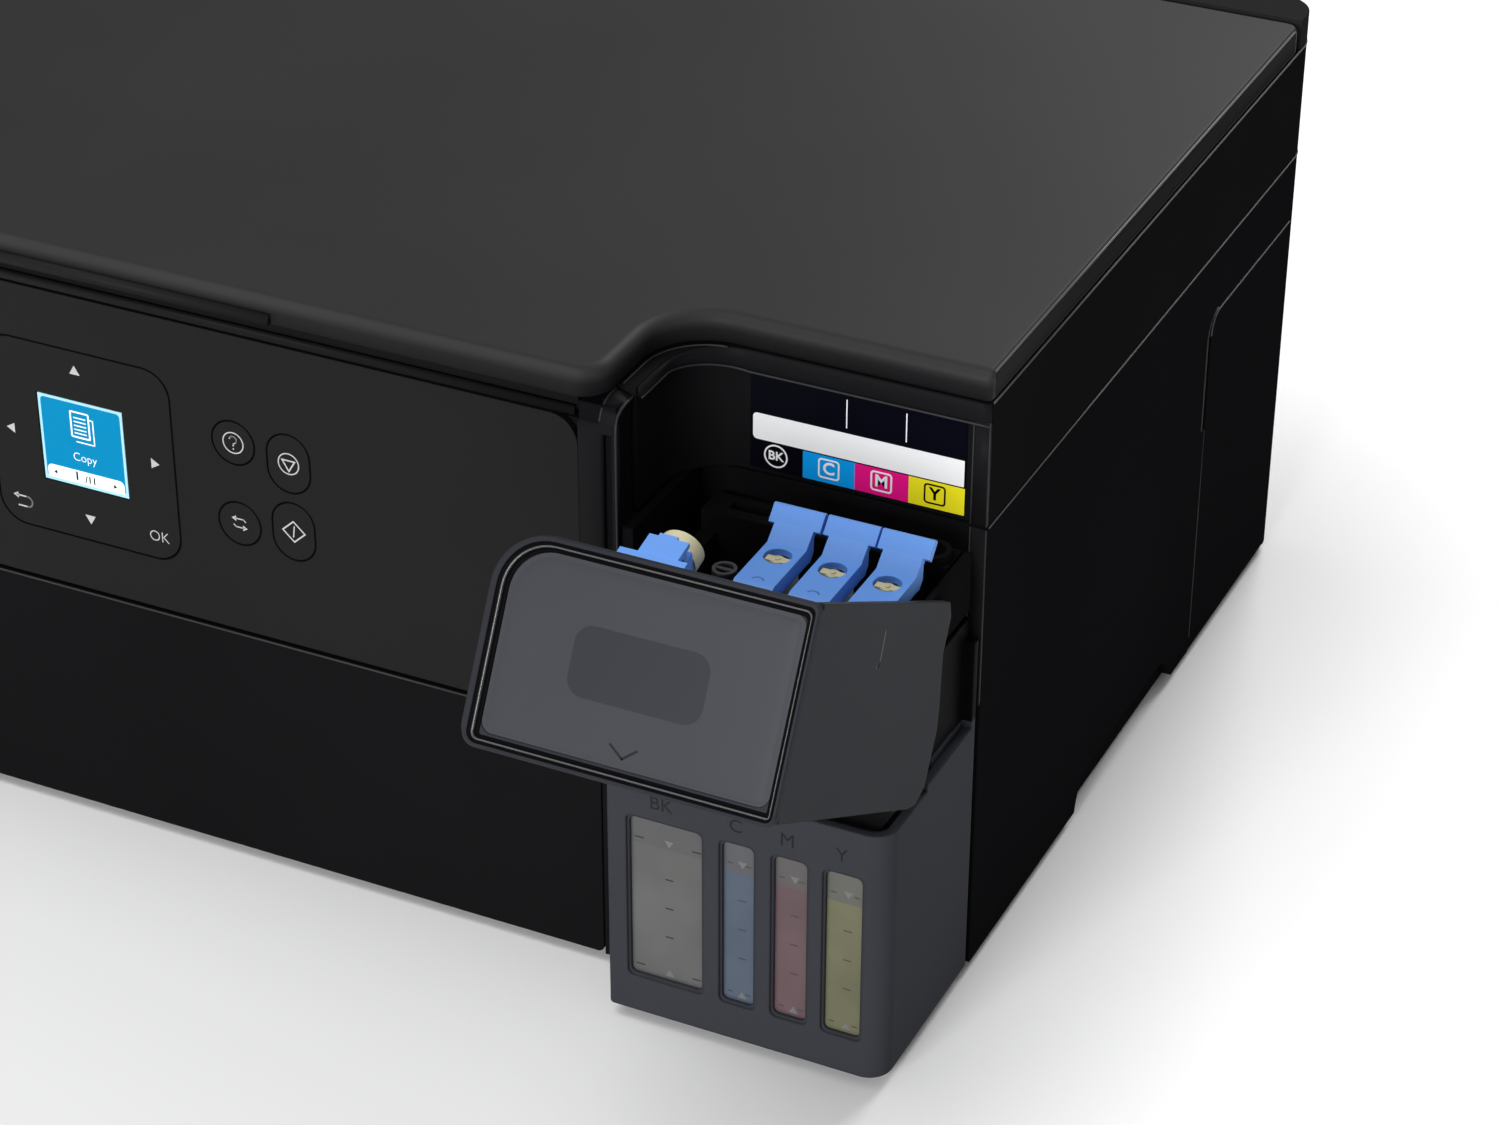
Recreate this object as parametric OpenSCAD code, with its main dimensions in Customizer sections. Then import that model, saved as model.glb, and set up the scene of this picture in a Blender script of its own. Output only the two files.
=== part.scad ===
// Ink-tank multifunction printer: body, scanner, front panel, ink tanks, caps and paper path.
// Millimetres. X to the right, Y to the back, Z up. Z = 0 is the surface under the feet.
// The origin is under the middle of the stored machine's bounding box, tank cover open.

/* [Body] */
// Overall width of the machine
body_width = 375; // [360:1:390]
// Height of the lid's top face
lid_top = 184; // [182:0.5:188]
// Height of the joint between the case and the scanner unit
split_height = 139.5; // [137:0.5:141]
// Wall thickness of the outer mouldings
wall = 2.6; // [2:0.1:3]
// Radius of the two upright rear corners
rear_corner = 12; // [6:1:14]
// Radius of the scoop in the lid and scanner rim above the tanks
scoop_radius = 17; // [12:1:20]

/* [Ink tanks] */
// Angle of the tank cover from closed, as stored
cover_open_angle = 61.7; // [0:0.1:61.7]
// Angle of the black cap from closed, as stored
black_cap_angle = 103; // [0:1:103]
// Outer radius of the filling necks
neck_radius = 3.3; // [3:0.1:3.5]
// Outer radius of the cap seals
seal_radius = 5.85; // [5.6:0.05:5.9]

/* [Control panel] */
// Radius of the round keys
round_key_radius = 6.5; // [5.5:0.1:7]
// Travel gap around every key
key_gap = 0.25; // [0.2:0.05:0.4]

/* [Paper path] */
// Clear width between the paper edge guides, fully open
paper_width = 216; // [210:1:218]
// Radius of the feed roller
feed_roller_radius = 6; // [5:0.5:6]
// Radius of the exit roller
exit_roller_radius = 5; // [4:0.5:5]

/* [Display] */
// Which piece to build, or all of them

/* [Hidden] */
$fn = 64;

c_case = [0.07, 0.07, 0.08];
c_panel = [0.14, 0.14, 0.14];
c_tank = [0.25, 0.26, 0.29];
c_blue = [0.39, 0.58, 0.92];
c_cream = [0.92, 0.88, 0.68];
c_metal = [0.66, 0.67, 0.69];

// distance from the closed machine's middle to the origin
frame_shift = 34.3;

// case levels and edges
half_w = body_width / 2;
foot_h = 3;
floor_t = 2.6;
seam = 0.2;
case_top = split_height - seam;
scan_bottom = split_height + seam;
rim_top = 175;
front_y = -154.3;
side_front_y = -115.1;
rear_y = 139.2;
post_top = 172.8;
post_back_y = -146.2;
post_right_x = 103.2;
mouth_left = -176.3;
mouth_right = 97.4;
panel_mouth_right = 92.6;
panel_foot = 76;
bulkhead_y = -135.2;
big = 500;

// tank bay
bay_x = 107.5;
tank_x0 = 108;
tank_x1 = 187.4;
tank_front_y = -173.5;
tank_rear_y = -118;
tank_wall = 2.4;
tank_top = 80.2;
tank_side_top = 82;
tank_floor = 4;
port_y = -148.3;
port_x = [130.1, 144.8, 159.8, 174.6];
tank_left = [112.6, 139.6, 154.2, 168.6];
tank_right = [137.9, 151.9, 166.8, 182.1];
window_left = [114.8, 141.3, 155.9, 170.3];
window_right = [135.5, 150.2, 165.1, 180.4];
window_z0 = [15.8, 15.6, 15.8, 15.6];
window_z1 = 65.9;
neck_top = 130.5;
deck_z = 111.4;
deck_t = 3.6;
cover_pivot = [-161.3, 99.25];
cover_pin_r = 2.6;
cap_pivot = [-168.3, 129.6];
cap_pin_r = 1.5;
lever_top = 138;
lever_t = 2;
lever_w = 10.8;
cover_rear_y = -121.8;

// scanner and lid
scoop_x = 104.5;
scoop_y = -114.5;
lid_scoop_x = 100.5;
lid_scoop_y = -116.3;
lid_front_y = -158.3;
lid_rear_y = 121.6;
lid_gap_z = 175.8;
scan_pivot = [141.8, 139];
scan_knuckle_x = [-110, 70];
lid_pivot = [125.6, 182.6];
lid_knuckle_r = 1.9;
lid_hinge_x = [-110, 110];
glass_x = 156;
glass_y = 111;
rod_r = 4;
rod_z = 148;
fit = 0.06;

// control panel
panel_x0 = -176;
panel_x1 = 92.2;
panel_z0 = 76.6;
panel_z1 = 167.4;
fascia_t = 2.2;
panel_corner = 8;
panel_pivot = [-149.3, 159];
nav = [-87.7, -29.5, 92.5, 151];
lcd = [-72.1, -45.3, 109, 135.5];
help_key = [-10.4, 135.1];
swap_key = [-10.1, 110.5];
stop_key = [6.4, 132.9];
start_key = [6.7, 112.3];
power_key = [-152, 140];
oval_key_shift = 2.25;

// paper path and print engine
paper_cx = -20;
slot_half = 112;
rear_x0 = -145;
rear_x1 = 105;
rear_unit_y0 = 139.5;
rear_unit_y1 = 173.5;
rear_unit_top = 134;
frame_y = 66;
side_plate_x = [-143, 104];
feed_axis = [57, 50];
exit_axis = [-10, 50];
shaft_r = 3;
carriage_axis = [52, 104];
carriage_cx = 118;

// ---------- helpers ----------

// moves a piece from the closed machine's middle to the origin
module place() {
    translate([0, frame_shift, 0])
        children();
}

// rectangle from x0 to x1 and y0 to y1 with radii r = [front left, front right, rear right, rear left]
module plan(x0, x1, y0, y1, r) {
    corners = [[x0, y0, 1, 1], [x1, y0, -1, 1], [x1, y1, -1, -1], [x0, y1, 1, -1]];
    difference() {
        translate([x0, y0])
            square([x1 - x0, y1 - y0]);
        for (i = [0:3])
            if (r[i] > 0)
                difference() {
                    translate([corners[i][0] - (corners[i][2] > 0 ? 1 : r[i]),
                               corners[i][1] - (corners[i][3] > 0 ? 1 : r[i])])
                        square(r[i] + 1);
                    translate([corners[i][0] + corners[i][2] * r[i], corners[i][1] + corners[i][3] * r[i]])
                        circle(r[i]);
                }
    }
}

// a plan shape drawn as x and z, stood up facing -Y, from y0 back to y0 + depth
module upright(y0, depth) {
    translate([0, y0 + depth, 0])
        rotate([90, 0, 0])
            linear_extrude(depth)
                children();
}

// a profile drawn as y and z, extruded along X from x0
module along_x(x0, length) {
    translate([x0, 0, 0])
        rotate([90, 0, 90])
            linear_extrude(length)
                children();
}

// box between two corners
module block(a, b) {
    translate(a)
        cube(b - a);
}

// rod along X at [y, z]
module rod_x(x0, x1, at, r) {
    translate([x0, at[0], at[1]])
        rotate([0, 90, 0])
            cylinder(h = x1 - x0, r = r);
}

// rod along Y at [x, z]
module rod_y(y0, y1, at, r) {
    translate([at[0], y1, at[1]])
        rotate([90, 0, 0])
            cylinder(h = y1 - y0, r = r);
}

// turns its children by angle about an X axis at [y, z]
module turn_about(at, angle) {
    translate([0, at[0], at[1]])
        rotate([angle, 0, 0])
            translate([0, -at[0], -at[1]])
                children();
}

// ---------- case ----------

module case_plan(inset) {
    difference() {
        plan(-half_w + inset, half_w - inset, front_y + inset, rear_y - inset,
             [max(4 - inset, 0), 0, rear_corner - inset, rear_corner - inset]);
        translate([bay_x - inset, -big])
            square([big, big + side_front_y + inset]);
    }
}

module side_cutout_profile() {
    polygon([[-37.4, -1], [-37.4, 3], [-36.6, 6], [-34.9, 10], [-32.5, 12], [-28.2, 13.2],
             [30, 13.2], [35, 11.5], [38, 8], [40.4, 4.5], [42.7, 3], [42.7, -1]]);
}

boss_at = [[-172, 125], [172, 125], [-172, -100], [172, -100], [-60, 125], [60, 125]];
boss_r = 4;
boss_top = 16;
screw_r = 1.5;
side_cover_corner = 6;

module main_case() {
    color(c_case)
        place()
        difference() {
            union() {
                difference() {
                    translate([0, 0, foot_h])
                        linear_extrude(case_top - foot_h)
                            case_plan(0);
                    translate([0, 0, -1])
                        linear_extrude(big)
                            case_plan(wall);
                }
                // front posts beside the drawer and the control panel
                block([-half_w, front_y, foot_h], [mouth_left - seam, post_back_y, post_top]);
                block([mouth_right + seam, front_y, foot_h], [bay_x, post_back_y, panel_foot]);
                block([panel_mouth_right + seam, front_y, panel_foot], [bay_x, post_back_y, case_top]);
                block([panel_mouth_right + seam, front_y, case_top], [post_right_x, post_back_y, post_top]);
                // bulkhead behind the control panel
                block([-half_w + 1, bulkhead_y, 68], [bay_x - 1, bulkhead_y + 2.4, case_top]);
                // screw bosses
                for (p = boss_at)
                    translate([p[0], p[1], foot_h + floor_t])
                        cylinder(h = boss_top - foot_h - floor_t, r = boss_r);
                // ribs from the rear bosses to the rear wall and from the front bosses to the sides
                for (p = boss_at)
                    if (p[1] > 0)
                        block([p[0] - 1.2, p[1], foot_h + floor_t], [p[0] + 1.2, rear_y - 1, boss_top]);
                for (x = [-half_w + 1, 172])
                    block([x, -101.2, foot_h + floor_t], [x + half_w - 173, -98.8, boss_top]);
            }
            // mouths for the drawer and for the control panel
            block([mouth_left, front_y - 1, -1], [mouth_right, -150, panel_foot]);
            block([mouth_left, front_y - 1, panel_foot - 0.01], [panel_mouth_right, -150, big]);
            // pilot holes for the screws
            for (p = boss_at)
                translate([p[0], p[1], 0])
                    cylinder(h = boss_top - 2, r = screw_r - 0.1);
            // scoops in the lower edges of both sides
            along_x(-half_w - 1, wall + 2)
                side_cutout_profile();
            along_x(half_w - wall - 1, wall + 2)
                side_cutout_profile();
            // opening behind the rear side cover
            along_x(half_w - wall - 1, wall + 2)
                plan(57.4, 127.2, -1, 117.8, [0, 0, 0, side_cover_corner + 0.3]);
            // paper opening towards the rear unit
            block([paper_cx - slot_half, rear_y - wall - 1, 40], [paper_cx + slot_half, rear_y + 1, 126]);
            // sockets
            block([-180, rear_y - wall - 1, 18], [-152, rear_y + 1, 42]);
            block([-179, rear_y - wall - 1, 58], [-163, rear_y + 1, 74]);
            // pivot holes for the control panel
            rod_x(mouth_left - 3.6, mouth_left + 1, panel_pivot, 2 + fit);
            rod_x(panel_mouth_right - 1, panel_mouth_right + 3.6, panel_pivot, 2 + fit);
            // finger groove beside the rear side cover
            along_x(half_w - 1.2, 3)
                plan(54.6, 64, 81, 118.6, [1, 0, 0, side_cover_corner + 2]);
        }
}

module base_plate() {
    color(c_case)
        place()
        difference() {
            union() {
                block([-half_w + wall + 0.1, -112.4, foot_h],
                      [half_w - wall - 0.1, rear_y - wall - 0.1, foot_h + floor_t]);
                block([-half_w + wall + 0.1, -139.6, foot_h], [bay_x - wall - 0.1, -112, foot_h + floor_t]);
                // drawer runners
                for (x = [paper_cx - 114, paper_cx + 112])
                    block([x, -139, foot_h + floor_t - 0.1], [x + 2, -25, 12]);
            }
            for (p = boss_at)
                translate([p[0], p[1], 0])
                    cylinder(h = 20, r = screw_r + 0.1);
            // rear corners follow the case
            for (s = [-1, 1])
                translate([s * (half_w - wall), rear_y - wall, 0])
                    rotate([0, 0, 45])
                        cube([12, 12, 40], center = true);
            // cooling slots
            for (i = [0:7])
                block([-160, -20 + i * 8, 0], [-120, -17 + i * 8, 20]);
            // scoops at both sides
            for (s = [-1, 1])
                translate([s > 0 ? half_w - wall - 4 : -half_w, -38, 0])
                    cube([wall + 4, 81, 20]);
        }
}

foot_at = [[-165, 112], [165, 112], [-165, -122], [158, -98]];

module feet() {
    color([0.12, 0.12, 0.12])
        place()
        for (p = foot_at)
            translate([p[0], p[1], 0])
                cylinder(h = foot_h, r = 8);
}

module case_screws() {
    color(c_metal)
        place()
        for (p = boss_at)
            translate([p[0], p[1], foot_h - 1.4]) {
                cylinder(h = 1.4, r = 2.8);
                cylinder(h = 10, r = screw_r - 0.1);
            }
}

module rear_side_cover() {
    color(c_case)
        place() {
        along_x(half_w - wall, wall)
            plan(57.7, 126.9, foot_h + 0.4, 117.5, [0, 0, 0, side_cover_corner]);
        block([half_w - wall - 1.6, 53, 20], [half_w - wall, 127, 121]);
    }
}

knuckle_ear = 3.6;
ear_x = 10.4 + knuckle_ear / 2;

module rear_housing() {
    color(c_case)
        place()
        difference() {
            union() {
                difference() {
                    block([rear_x0, rear_unit_y0, 8], [rear_x1, rear_unit_y1, rear_unit_top]);
                    block([rear_x0 + 2.4, rear_unit_y0 - 1, 10.4],
                          [rear_x1 - 2.4, rear_unit_y1 - 2.4, rear_unit_top - 2.4]);
                }
                block([rear_x0 + 3, rear_unit_y0 - 0.3, 12], [rear_x0 + 12, rear_unit_y0 + 1, 36]);
                block([rear_x1 - 12, rear_unit_y0 - 0.3, 12], [rear_x1 - 3, rear_unit_y0 + 1, 36]);
                // rear face of the paper chute
                block([paper_cx - slot_half, 162, 40], [paper_cx + slot_half, 164.2, rear_unit_top - 1]);
                for (s = [-1, 1])
                    block([paper_cx + s * (slot_half + 1) - 1, 150, 40],
                          [paper_cx + s * (slot_half + 1) + 1, 171.5, rear_unit_top - 1]);
                // scanner hinge ears
                for (x = scan_knuckle_x)
                    for (s = [-1, 1])
                        block([x + s * ear_x - knuckle_ear / 2, rear_unit_y0, rear_unit_top - 1],
                              [x + s * ear_x + knuckle_ear / 2, 144, 141]);
                // guard hinge ears
                for (s = [-1, 1])
                    block([paper_cx + s * 110 - 1, 160.4, rear_unit_top - 1],
                          [paper_cx + s * 110 + 1, 164.4, 137.4]);
            }
            // feed slot and the slit for the paper support
            block([paper_cx - slot_half + 4, 145.2, rear_unit_top - 5], [paper_cx + slot_half - 4, 162, big]);
            block([paper_cx - 105.5, 165.2, rear_unit_top - 5], [paper_cx + 105.5, 168.8, big]);
            // opening behind the rear cover
            block([paper_cx - 108, 169, 20], [paper_cx + 108, big, 96]);
            for (x = scan_knuckle_x)
                rod_x(x - 15, x + 15, scan_pivot, cap_pin_r + fit);
            rod_x(paper_cx - 112, paper_cx + 112, [162.4, 135.8], 1 + fit);
        }
}

// ---------- ink tanks ----------

module window_2d(i, grow) {
    x0 = window_left[i] - grow;
    x1 = window_right[i] + grow;
    plan(x0, x1, window_z0[i] - grow, window_z1 + grow, [1.8, 1.8, 1.8, 1.8]);
}

ear_r = 9;
guard_x = 182.3;
guard_t = 2.4;
guard_left_x = 110.5;
guard_left_t = 2;
// position and thickness of both guards
guards = [[guard_x, guard_t], [guard_left_x, guard_left_t]];

module tank_housing() {
    color(c_tank)
        place()
        difference() {
            union() {
                difference() {
                    translate([0, 0, tank_floor])
                        linear_extrude(tank_side_top - tank_floor)
                            plan(tank_x0, tank_x1, tank_front_y, tank_rear_y, [2, 6.5, 0, 0]);
                    translate([0, 0, tank_floor + tank_wall])
                        linear_extrude(big)
                            plan(tank_x0 + tank_wall, tank_x1 - tank_wall, tank_front_y + tank_wall,
                                 tank_rear_y - tank_wall, [0, 4.1, 0, 0]);
                    // lower front edge under the swinging cover
                    block([tank_x0 - 1, tank_front_y - 1, tank_top], [tank_x1 + 1, -149, big]);
                }
                // guards and the cover's bearings
                for (g = guards) {
                    block([g[0], -141, 60], [g[0] + g[1], tank_rear_y - 0.2, 114]);
                    block([g[0], cover_pivot[0], 92.4], [g[0] + g[1], -140, 108.2]);
                    rod_x(g[0], g[0] + g[1], cover_pivot, ear_r);
                }
                block([guard_x, -141, 60], [tank_x1 - 1, tank_rear_y - 0.2, 78]);
                block([tank_x0 + 1, -141, 60], [guard_left_x + guard_left_t, tank_rear_y - 0.2, 78]);
                // back wall and its bracket to the case
                block([tank_x0, tank_rear_y - tank_wall, tank_floor], [tank_x1, tank_rear_y, 108]);
                block([tank_x0 + 6, tank_rear_y - 1, 20], [tank_x1 - 6, side_front_y, 60]);
            }
            for (i = [0:3])
                upright(tank_front_y - 1, tank_wall + 2)
                    window_2d(i, 0);
            for (i = [0:3])
                upright(tank_front_y - 1, 1.7)
                    window_2d(i, 0.7);
            for (g = guards)
                rod_x(g[0] - 1, g[0] + g[1] + 1, cover_pivot, cover_pin_r + fit);
        }
}

module tank(i) {
    x0 = tank_left[i];
    x1 = tank_right[i];
    skin = 1.5;
    difference() {
        union() {
            block([x0, tank_front_y + tank_wall + 0.2, tank_floor + tank_wall], [x1, -149, 77.6]);
            block([x0, -149.2, tank_floor + tank_wall], [x1, tank_rear_y - tank_wall - 0.2, deck_z]);
            block([x0, -153.2, 90], [x1, -149, deck_z]);
            translate([port_x[i], port_y, deck_z - 1])
                cylinder(h = neck_top - deck_z + 1, r = neck_radius);
        }
        block([x0 + skin, tank_front_y + tank_wall + 0.2 + skin, tank_floor + tank_wall + skin],
              [x1 - skin, -148, 77.6 - skin]);
        block([x0 + skin, -149.2 + skin, tank_floor + tank_wall + skin],
              [x1 - skin, tank_rear_y - tank_wall - 0.2 - skin, deck_z - skin]);
        translate([port_x[i], port_y, deck_z - 4])
            cylinder(h = 40, r = 2.2);
    }
}

module tank_black() {
    color([0.75, 0.75, 0.75])
        place()
        tank(0);
}

module tank_cyan() {
    color([0.6, 0.75, 0.9])
        place()
        tank(1);
}

module tank_magenta() {
    color([0.9, 0.7, 0.75])
        place()
        tank(2);
}

module tank_yellow() {
    color([0.85, 0.85, 0.6])
        place()
        tank(3);
}

deck_x0 = 113.6;
deck_x1 = 182.1;
cap_pitch = 14.85;

module tank_deck() {
    color(c_case)
        place()
        difference() {
            union() {
                block([deck_x0, -169.8, deck_z], [deck_x1, tank_rear_y, deck_z + deck_t]);
                // raised shelf at the back of the bay
                block([deck_x0, -128, deck_z + deck_t - 0.1], [deck_x1, tank_rear_y, 133]);
                translate([176.5, -124.2, 120])
                    cylinder(h = 15.5, r = 5);
                // front rail that carries the cap bearings
                block([deck_x0, -169.8, deck_z + deck_t - 0.1], [deck_x1, -164, 121]);
                for (i = [0:4])
                    cap_ear(i);
                // bracket at the right
                block([182.8, -158, 116], [184.7, tank_rear_y, 133]);
                block([deck_x1 - 0.1, -128, 116], [184.7, tank_rear_y, 126]);
                // ribs between the caps
                for (i = [0:2])
                    block([137.05 + i * cap_pitch, -164.1, deck_z + deck_t - 0.1],
                          [137.75 + i * cap_pitch, -127.9, 121]);
                // well beside the black cap
                block([deck_x0, -148, deck_z + deck_t - 0.1], [118, -127.9, 127]);
            }
            for (i = [0:3])
                translate([port_x[i], port_y, deck_z - 1])
                    cylinder(h = 10, r = neck_radius + 0.3);
            translate([176.5, -124.2, 126])
                cylinder(h = 20, r = 3.4);
            // dark well in the shelf
            block([120, -124.5, 119], [134, -121, 140]);
            rod_x(100, 190, cap_pivot, cap_pin_r + fit);
        }
}

module cap_ear(i) {
    xc = i == 0 ? port_x[0] - 7.42 : (i == 4 ? deck_x1 - 0.55 : (port_x[i - 1] + port_x[i]) / 2);
    t = i == 4 ? 1.1 : 1.7;
    block([xc - t / 2, -169.8, 120], [xc + t / 2, -165.8, cap_pivot[1]]);
    rod_x(xc - t / 2, xc + t / 2, cap_pivot, 2.1);
}

// ---------- ink caps ----------

// side view of the lever as y and z
module lever_profile() {
    polygon([[-168.4, 131.4], [-165.2, 136.6], [-162, lever_top], [-143, lever_top], [-138.5, 141.6],
             [-137.2, 140.3], [-142.2, lever_top - lever_t],
             [-161.6, lever_top - lever_t], [-163.4, 134.6], [-166.7, 128.6]]);
}

// side view of the wide finger tab at the end of a lever
module tab_profile() {
    polygon([[-138.8, 141.3], [-135.2, 144.9], [-134.3, 144.7], [-133.9, 143.8], [-137.5, 140.1]]);
}

black_tab_y = -140.1;

// side view of the black lever: a straight body with an upright end wall
module black_lever_profile() {
    polygon([[-168.4, 131.4], [-165.2, 136.6], [-162, lever_top], [-141.9, lever_top], [-141.5, 141.2],
             [black_tab_y, 141.2], [black_tab_y, 134.1], [-141.4, 134.1], [-141.4, lever_top - lever_t],
             [-161.6, lever_top - lever_t], [-163.4, 134.6], [-166.7, 128.6]]);
}

module lever_sides(xc, w) {
    for (s = [-1, 1])
        along_x(xc + s * (w / 2 - 0.8) - 0.8, 1.6)
            polygon([[-166, 132.4], [-163.2, 136.4], [-145, 136.4], [-143.6, 133.6],
                     [-160.4, 133.6], [-163.6, 131.6]]);
}

module cap_barrel(xc, w) {
    rod_x(xc - w / 2, xc + w / 2, cap_pivot, 2);
    rod_x(xc - w / 2 - 1.75, xc + w / 2 + 1.75, cap_pivot, cap_pin_r);
}

module cap_lever(xc) {
    difference() {
        union() {
            along_x(xc - lever_w / 2, lever_w)
                lever_profile();
            along_x(xc - 7.1, 14.2)
                tab_profile();
            lever_sides(xc, lever_w);
            // side ribs under the sloping end
            for (s = [-1, 1])
                along_x(xc + s * (lever_w / 2 - 0.6) - 0.6, 1.2)
                    polygon([[-145.2, 133.8], [-145.2, 136.4], [-142.8, 137], [-138.4, 140.9],
                             [-138.6, 135.4], [-140.6, 133.4]]);
            cap_barrel(xc, lever_w);
        }
        translate([xc, port_y, lever_top - 10])
            cylinder(h = 20, r = 3.65);
    }
}

module cap_lever_black() {
    xc = port_x[0];
    difference() {
        union() {
            along_x(xc - lever_w / 2, lever_w)
                black_lever_profile();
            // wide tab above the end wall and the step under it
            block([120.2, -141.5, 141.1], [138.4, black_tab_y + 0.5, 146.6]);
            block([xc - 3, -141.4, 133.1], [xc + 2, black_tab_y, 134.2]);
            lever_sides(xc, lever_w);
            cap_barrel(xc, lever_w);
        }
        translate([xc, port_y, lever_top - 10])
            cylinder(h = 20, r = 3.65);
    }
}

// rubber cup under a lever, with the key showing through the lever's hole
module cap_seal(xc) {
    translate([xc, port_y, 0]) {
        difference() {
            translate([0, 0, 128.6])
                cylinder(h = lever_top - lever_t - 128.6, r = seal_radius - 0.6);
            translate([0, 0, 120])
                cylinder(h = 12.4, r = neck_radius + 1.1);
            seal_side_cut();
        }
        translate([0, 0, 135])
            cylinder(h = 1.4, r = 3.4);
        translate([-3.2, -1.2, 136])
            cube([6.4, 2.4, 1.2]);
    }
}

// room for the lever's two side ribs in the top of a cup
module seal_side_cut() {
    for (s = [-1, 1])
        translate([s * (lever_w / 2 + 3.4), 0, 135.6])
            cube([10, 20, 4], center = true);
}

module cap_seal_black() {
    difference() {
        translate([port_x[0], port_y, 128.6])
            cylinder(h = lever_top - lever_t - 128.6, r = seal_radius);
        translate([port_x[0], port_y, 120])
            cylinder(h = 12.4, r = neck_radius + 1.2);
        translate([port_x[0], port_y, 0])
            seal_side_cut();
    }
    translate([port_x[0], port_y, 135])
        cylinder(h = 1.8, r = 3.4);
}

module cap_black() {
    color(c_blue)
        place()
        turn_about(cap_pivot, black_cap_angle)
            cap_lever_black();
}

module seal_black() {
    color(c_cream)
        place()
        turn_about(cap_pivot, black_cap_angle)
            cap_seal_black();
}

module cap_cyan() {
    color(c_blue)
        place()
        cap_lever(port_x[1]);
}

module seal_cyan() {
    color(c_cream)
        place()
        cap_seal(port_x[1]);
}

module cap_magenta() {
    color(c_blue)
        place()
        cap_lever(port_x[2]);
}

module seal_magenta() {
    color(c_cream)
        place()
        cap_seal(port_x[2]);
}

module cap_yellow() {
    color(c_blue)
        place()
        cap_lever(port_x[3]);
}

module seal_yellow() {
    color(c_cream)
        place()
        cap_seal(port_x[3]);
}

// ---------- tank cover ----------

cover_x0 = 105.5;
cover_x1 = 187.5;
cover_wall = 2.2;
cover_plate_t = 2.6;
cover_side_x0 = 108;
cover_foot = 83;
cover_draft = 2.5;
cover_corners = [4, 3, 2, 14];
insert_corners = [3, 3, 2.5, 11];
panel_recess = 1;

module cover_side_profile() {
    top = lid_top - cover_plate_t + 0.1;
    polygon([[tank_front_y - 1.7, 87.5], [tank_front_y - cover_draft, 92], [tank_front_y, top],
             [cover_rear_y, top], [-122.9, 94], [-126.6, 91], [-136.3, 91],
             [-150, cover_foot + 2], [-156, cover_foot], [tank_front_y + 2.7, cover_foot]]);
}

// side view of the space inside the cover
module cover_inside_profile() {
    top = lid_top - cover_plate_t;
    polygon([[tank_front_y + cover_wall, 60], [tank_front_y + cover_wall, 86],
             [tank_front_y - cover_draft + cover_wall, 92], [tank_front_y + cover_wall, top],
             [-100, top], [-100, 60]]);
}

module insert_2d(gap) {
    plan(cover_x0 + 5 + gap, cover_x1 - 2.3 - gap, tank_front_y + 3 + gap, cover_rear_y - 3.4 - gap,
         insert_corners);
}

module cover_shape() {
    difference() {
        union() {
            translate([0, 0, lid_top - cover_plate_t])
                linear_extrude(cover_plate_t)
                    plan(cover_x0, cover_x1, tank_front_y, cover_rear_y, cover_corners);
            difference() {
                along_x(cover_side_x0, cover_x1 - cover_side_x0)
                    cover_side_profile();
                along_x(cover_side_x0 + cover_wall, cover_x1 - cover_side_x0 - 2 * cover_wall)
                    cover_inside_profile();
                // the left side wall stops short of the back edge
                block([cover_side_x0 - 1, -136, 0], [cover_x1 - 10, big, big]);
            }
            // pivot pins on the inside of the side walls
            rod_x(guard_x, cover_x1 - 1, cover_pivot, cover_pin_r);
            rod_x(cover_side_x0 + 1, guard_left_x + guard_left_t, cover_pivot, cover_pin_r);
        }
        // recess for the insert
        translate([0, 0, lid_top - panel_recess])
            linear_extrude(10)
                insert_2d(0);
    }
}

module cover_shell() {
    color(c_tank)
        place()
        turn_about(cover_pivot, cover_open_angle)
            cover_shape();
}

module cover_panel() {
    color([0.31, 0.31, 0.33])
        place()
        turn_about(cover_pivot, cover_open_angle)
            translate([0, 0, lid_top - panel_recess])
                linear_extrude(panel_recess)
                    insert_2d(0.1);
}

// ---------- scanner unit ----------

module scoop_2d(x0, y0, r) {
    translate([x0, -big])
        square([big, big + y0 - r]);
    translate([x0 + r, -big])
        square([big, big + y0]);
    translate([x0 + r, y0 - r])
        circle(r);
}

module scanner_plan(inset) {
    difference() {
        plan(-half_w + inset, half_w - inset, -136 + inset, rear_y - inset,
             [0, 0, rear_corner - inset, rear_corner - inset]);
        scoop_2d(scoop_x - inset, scoop_y + inset, scoop_radius + inset);
    }
}

rail_t = 3.2;

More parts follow.
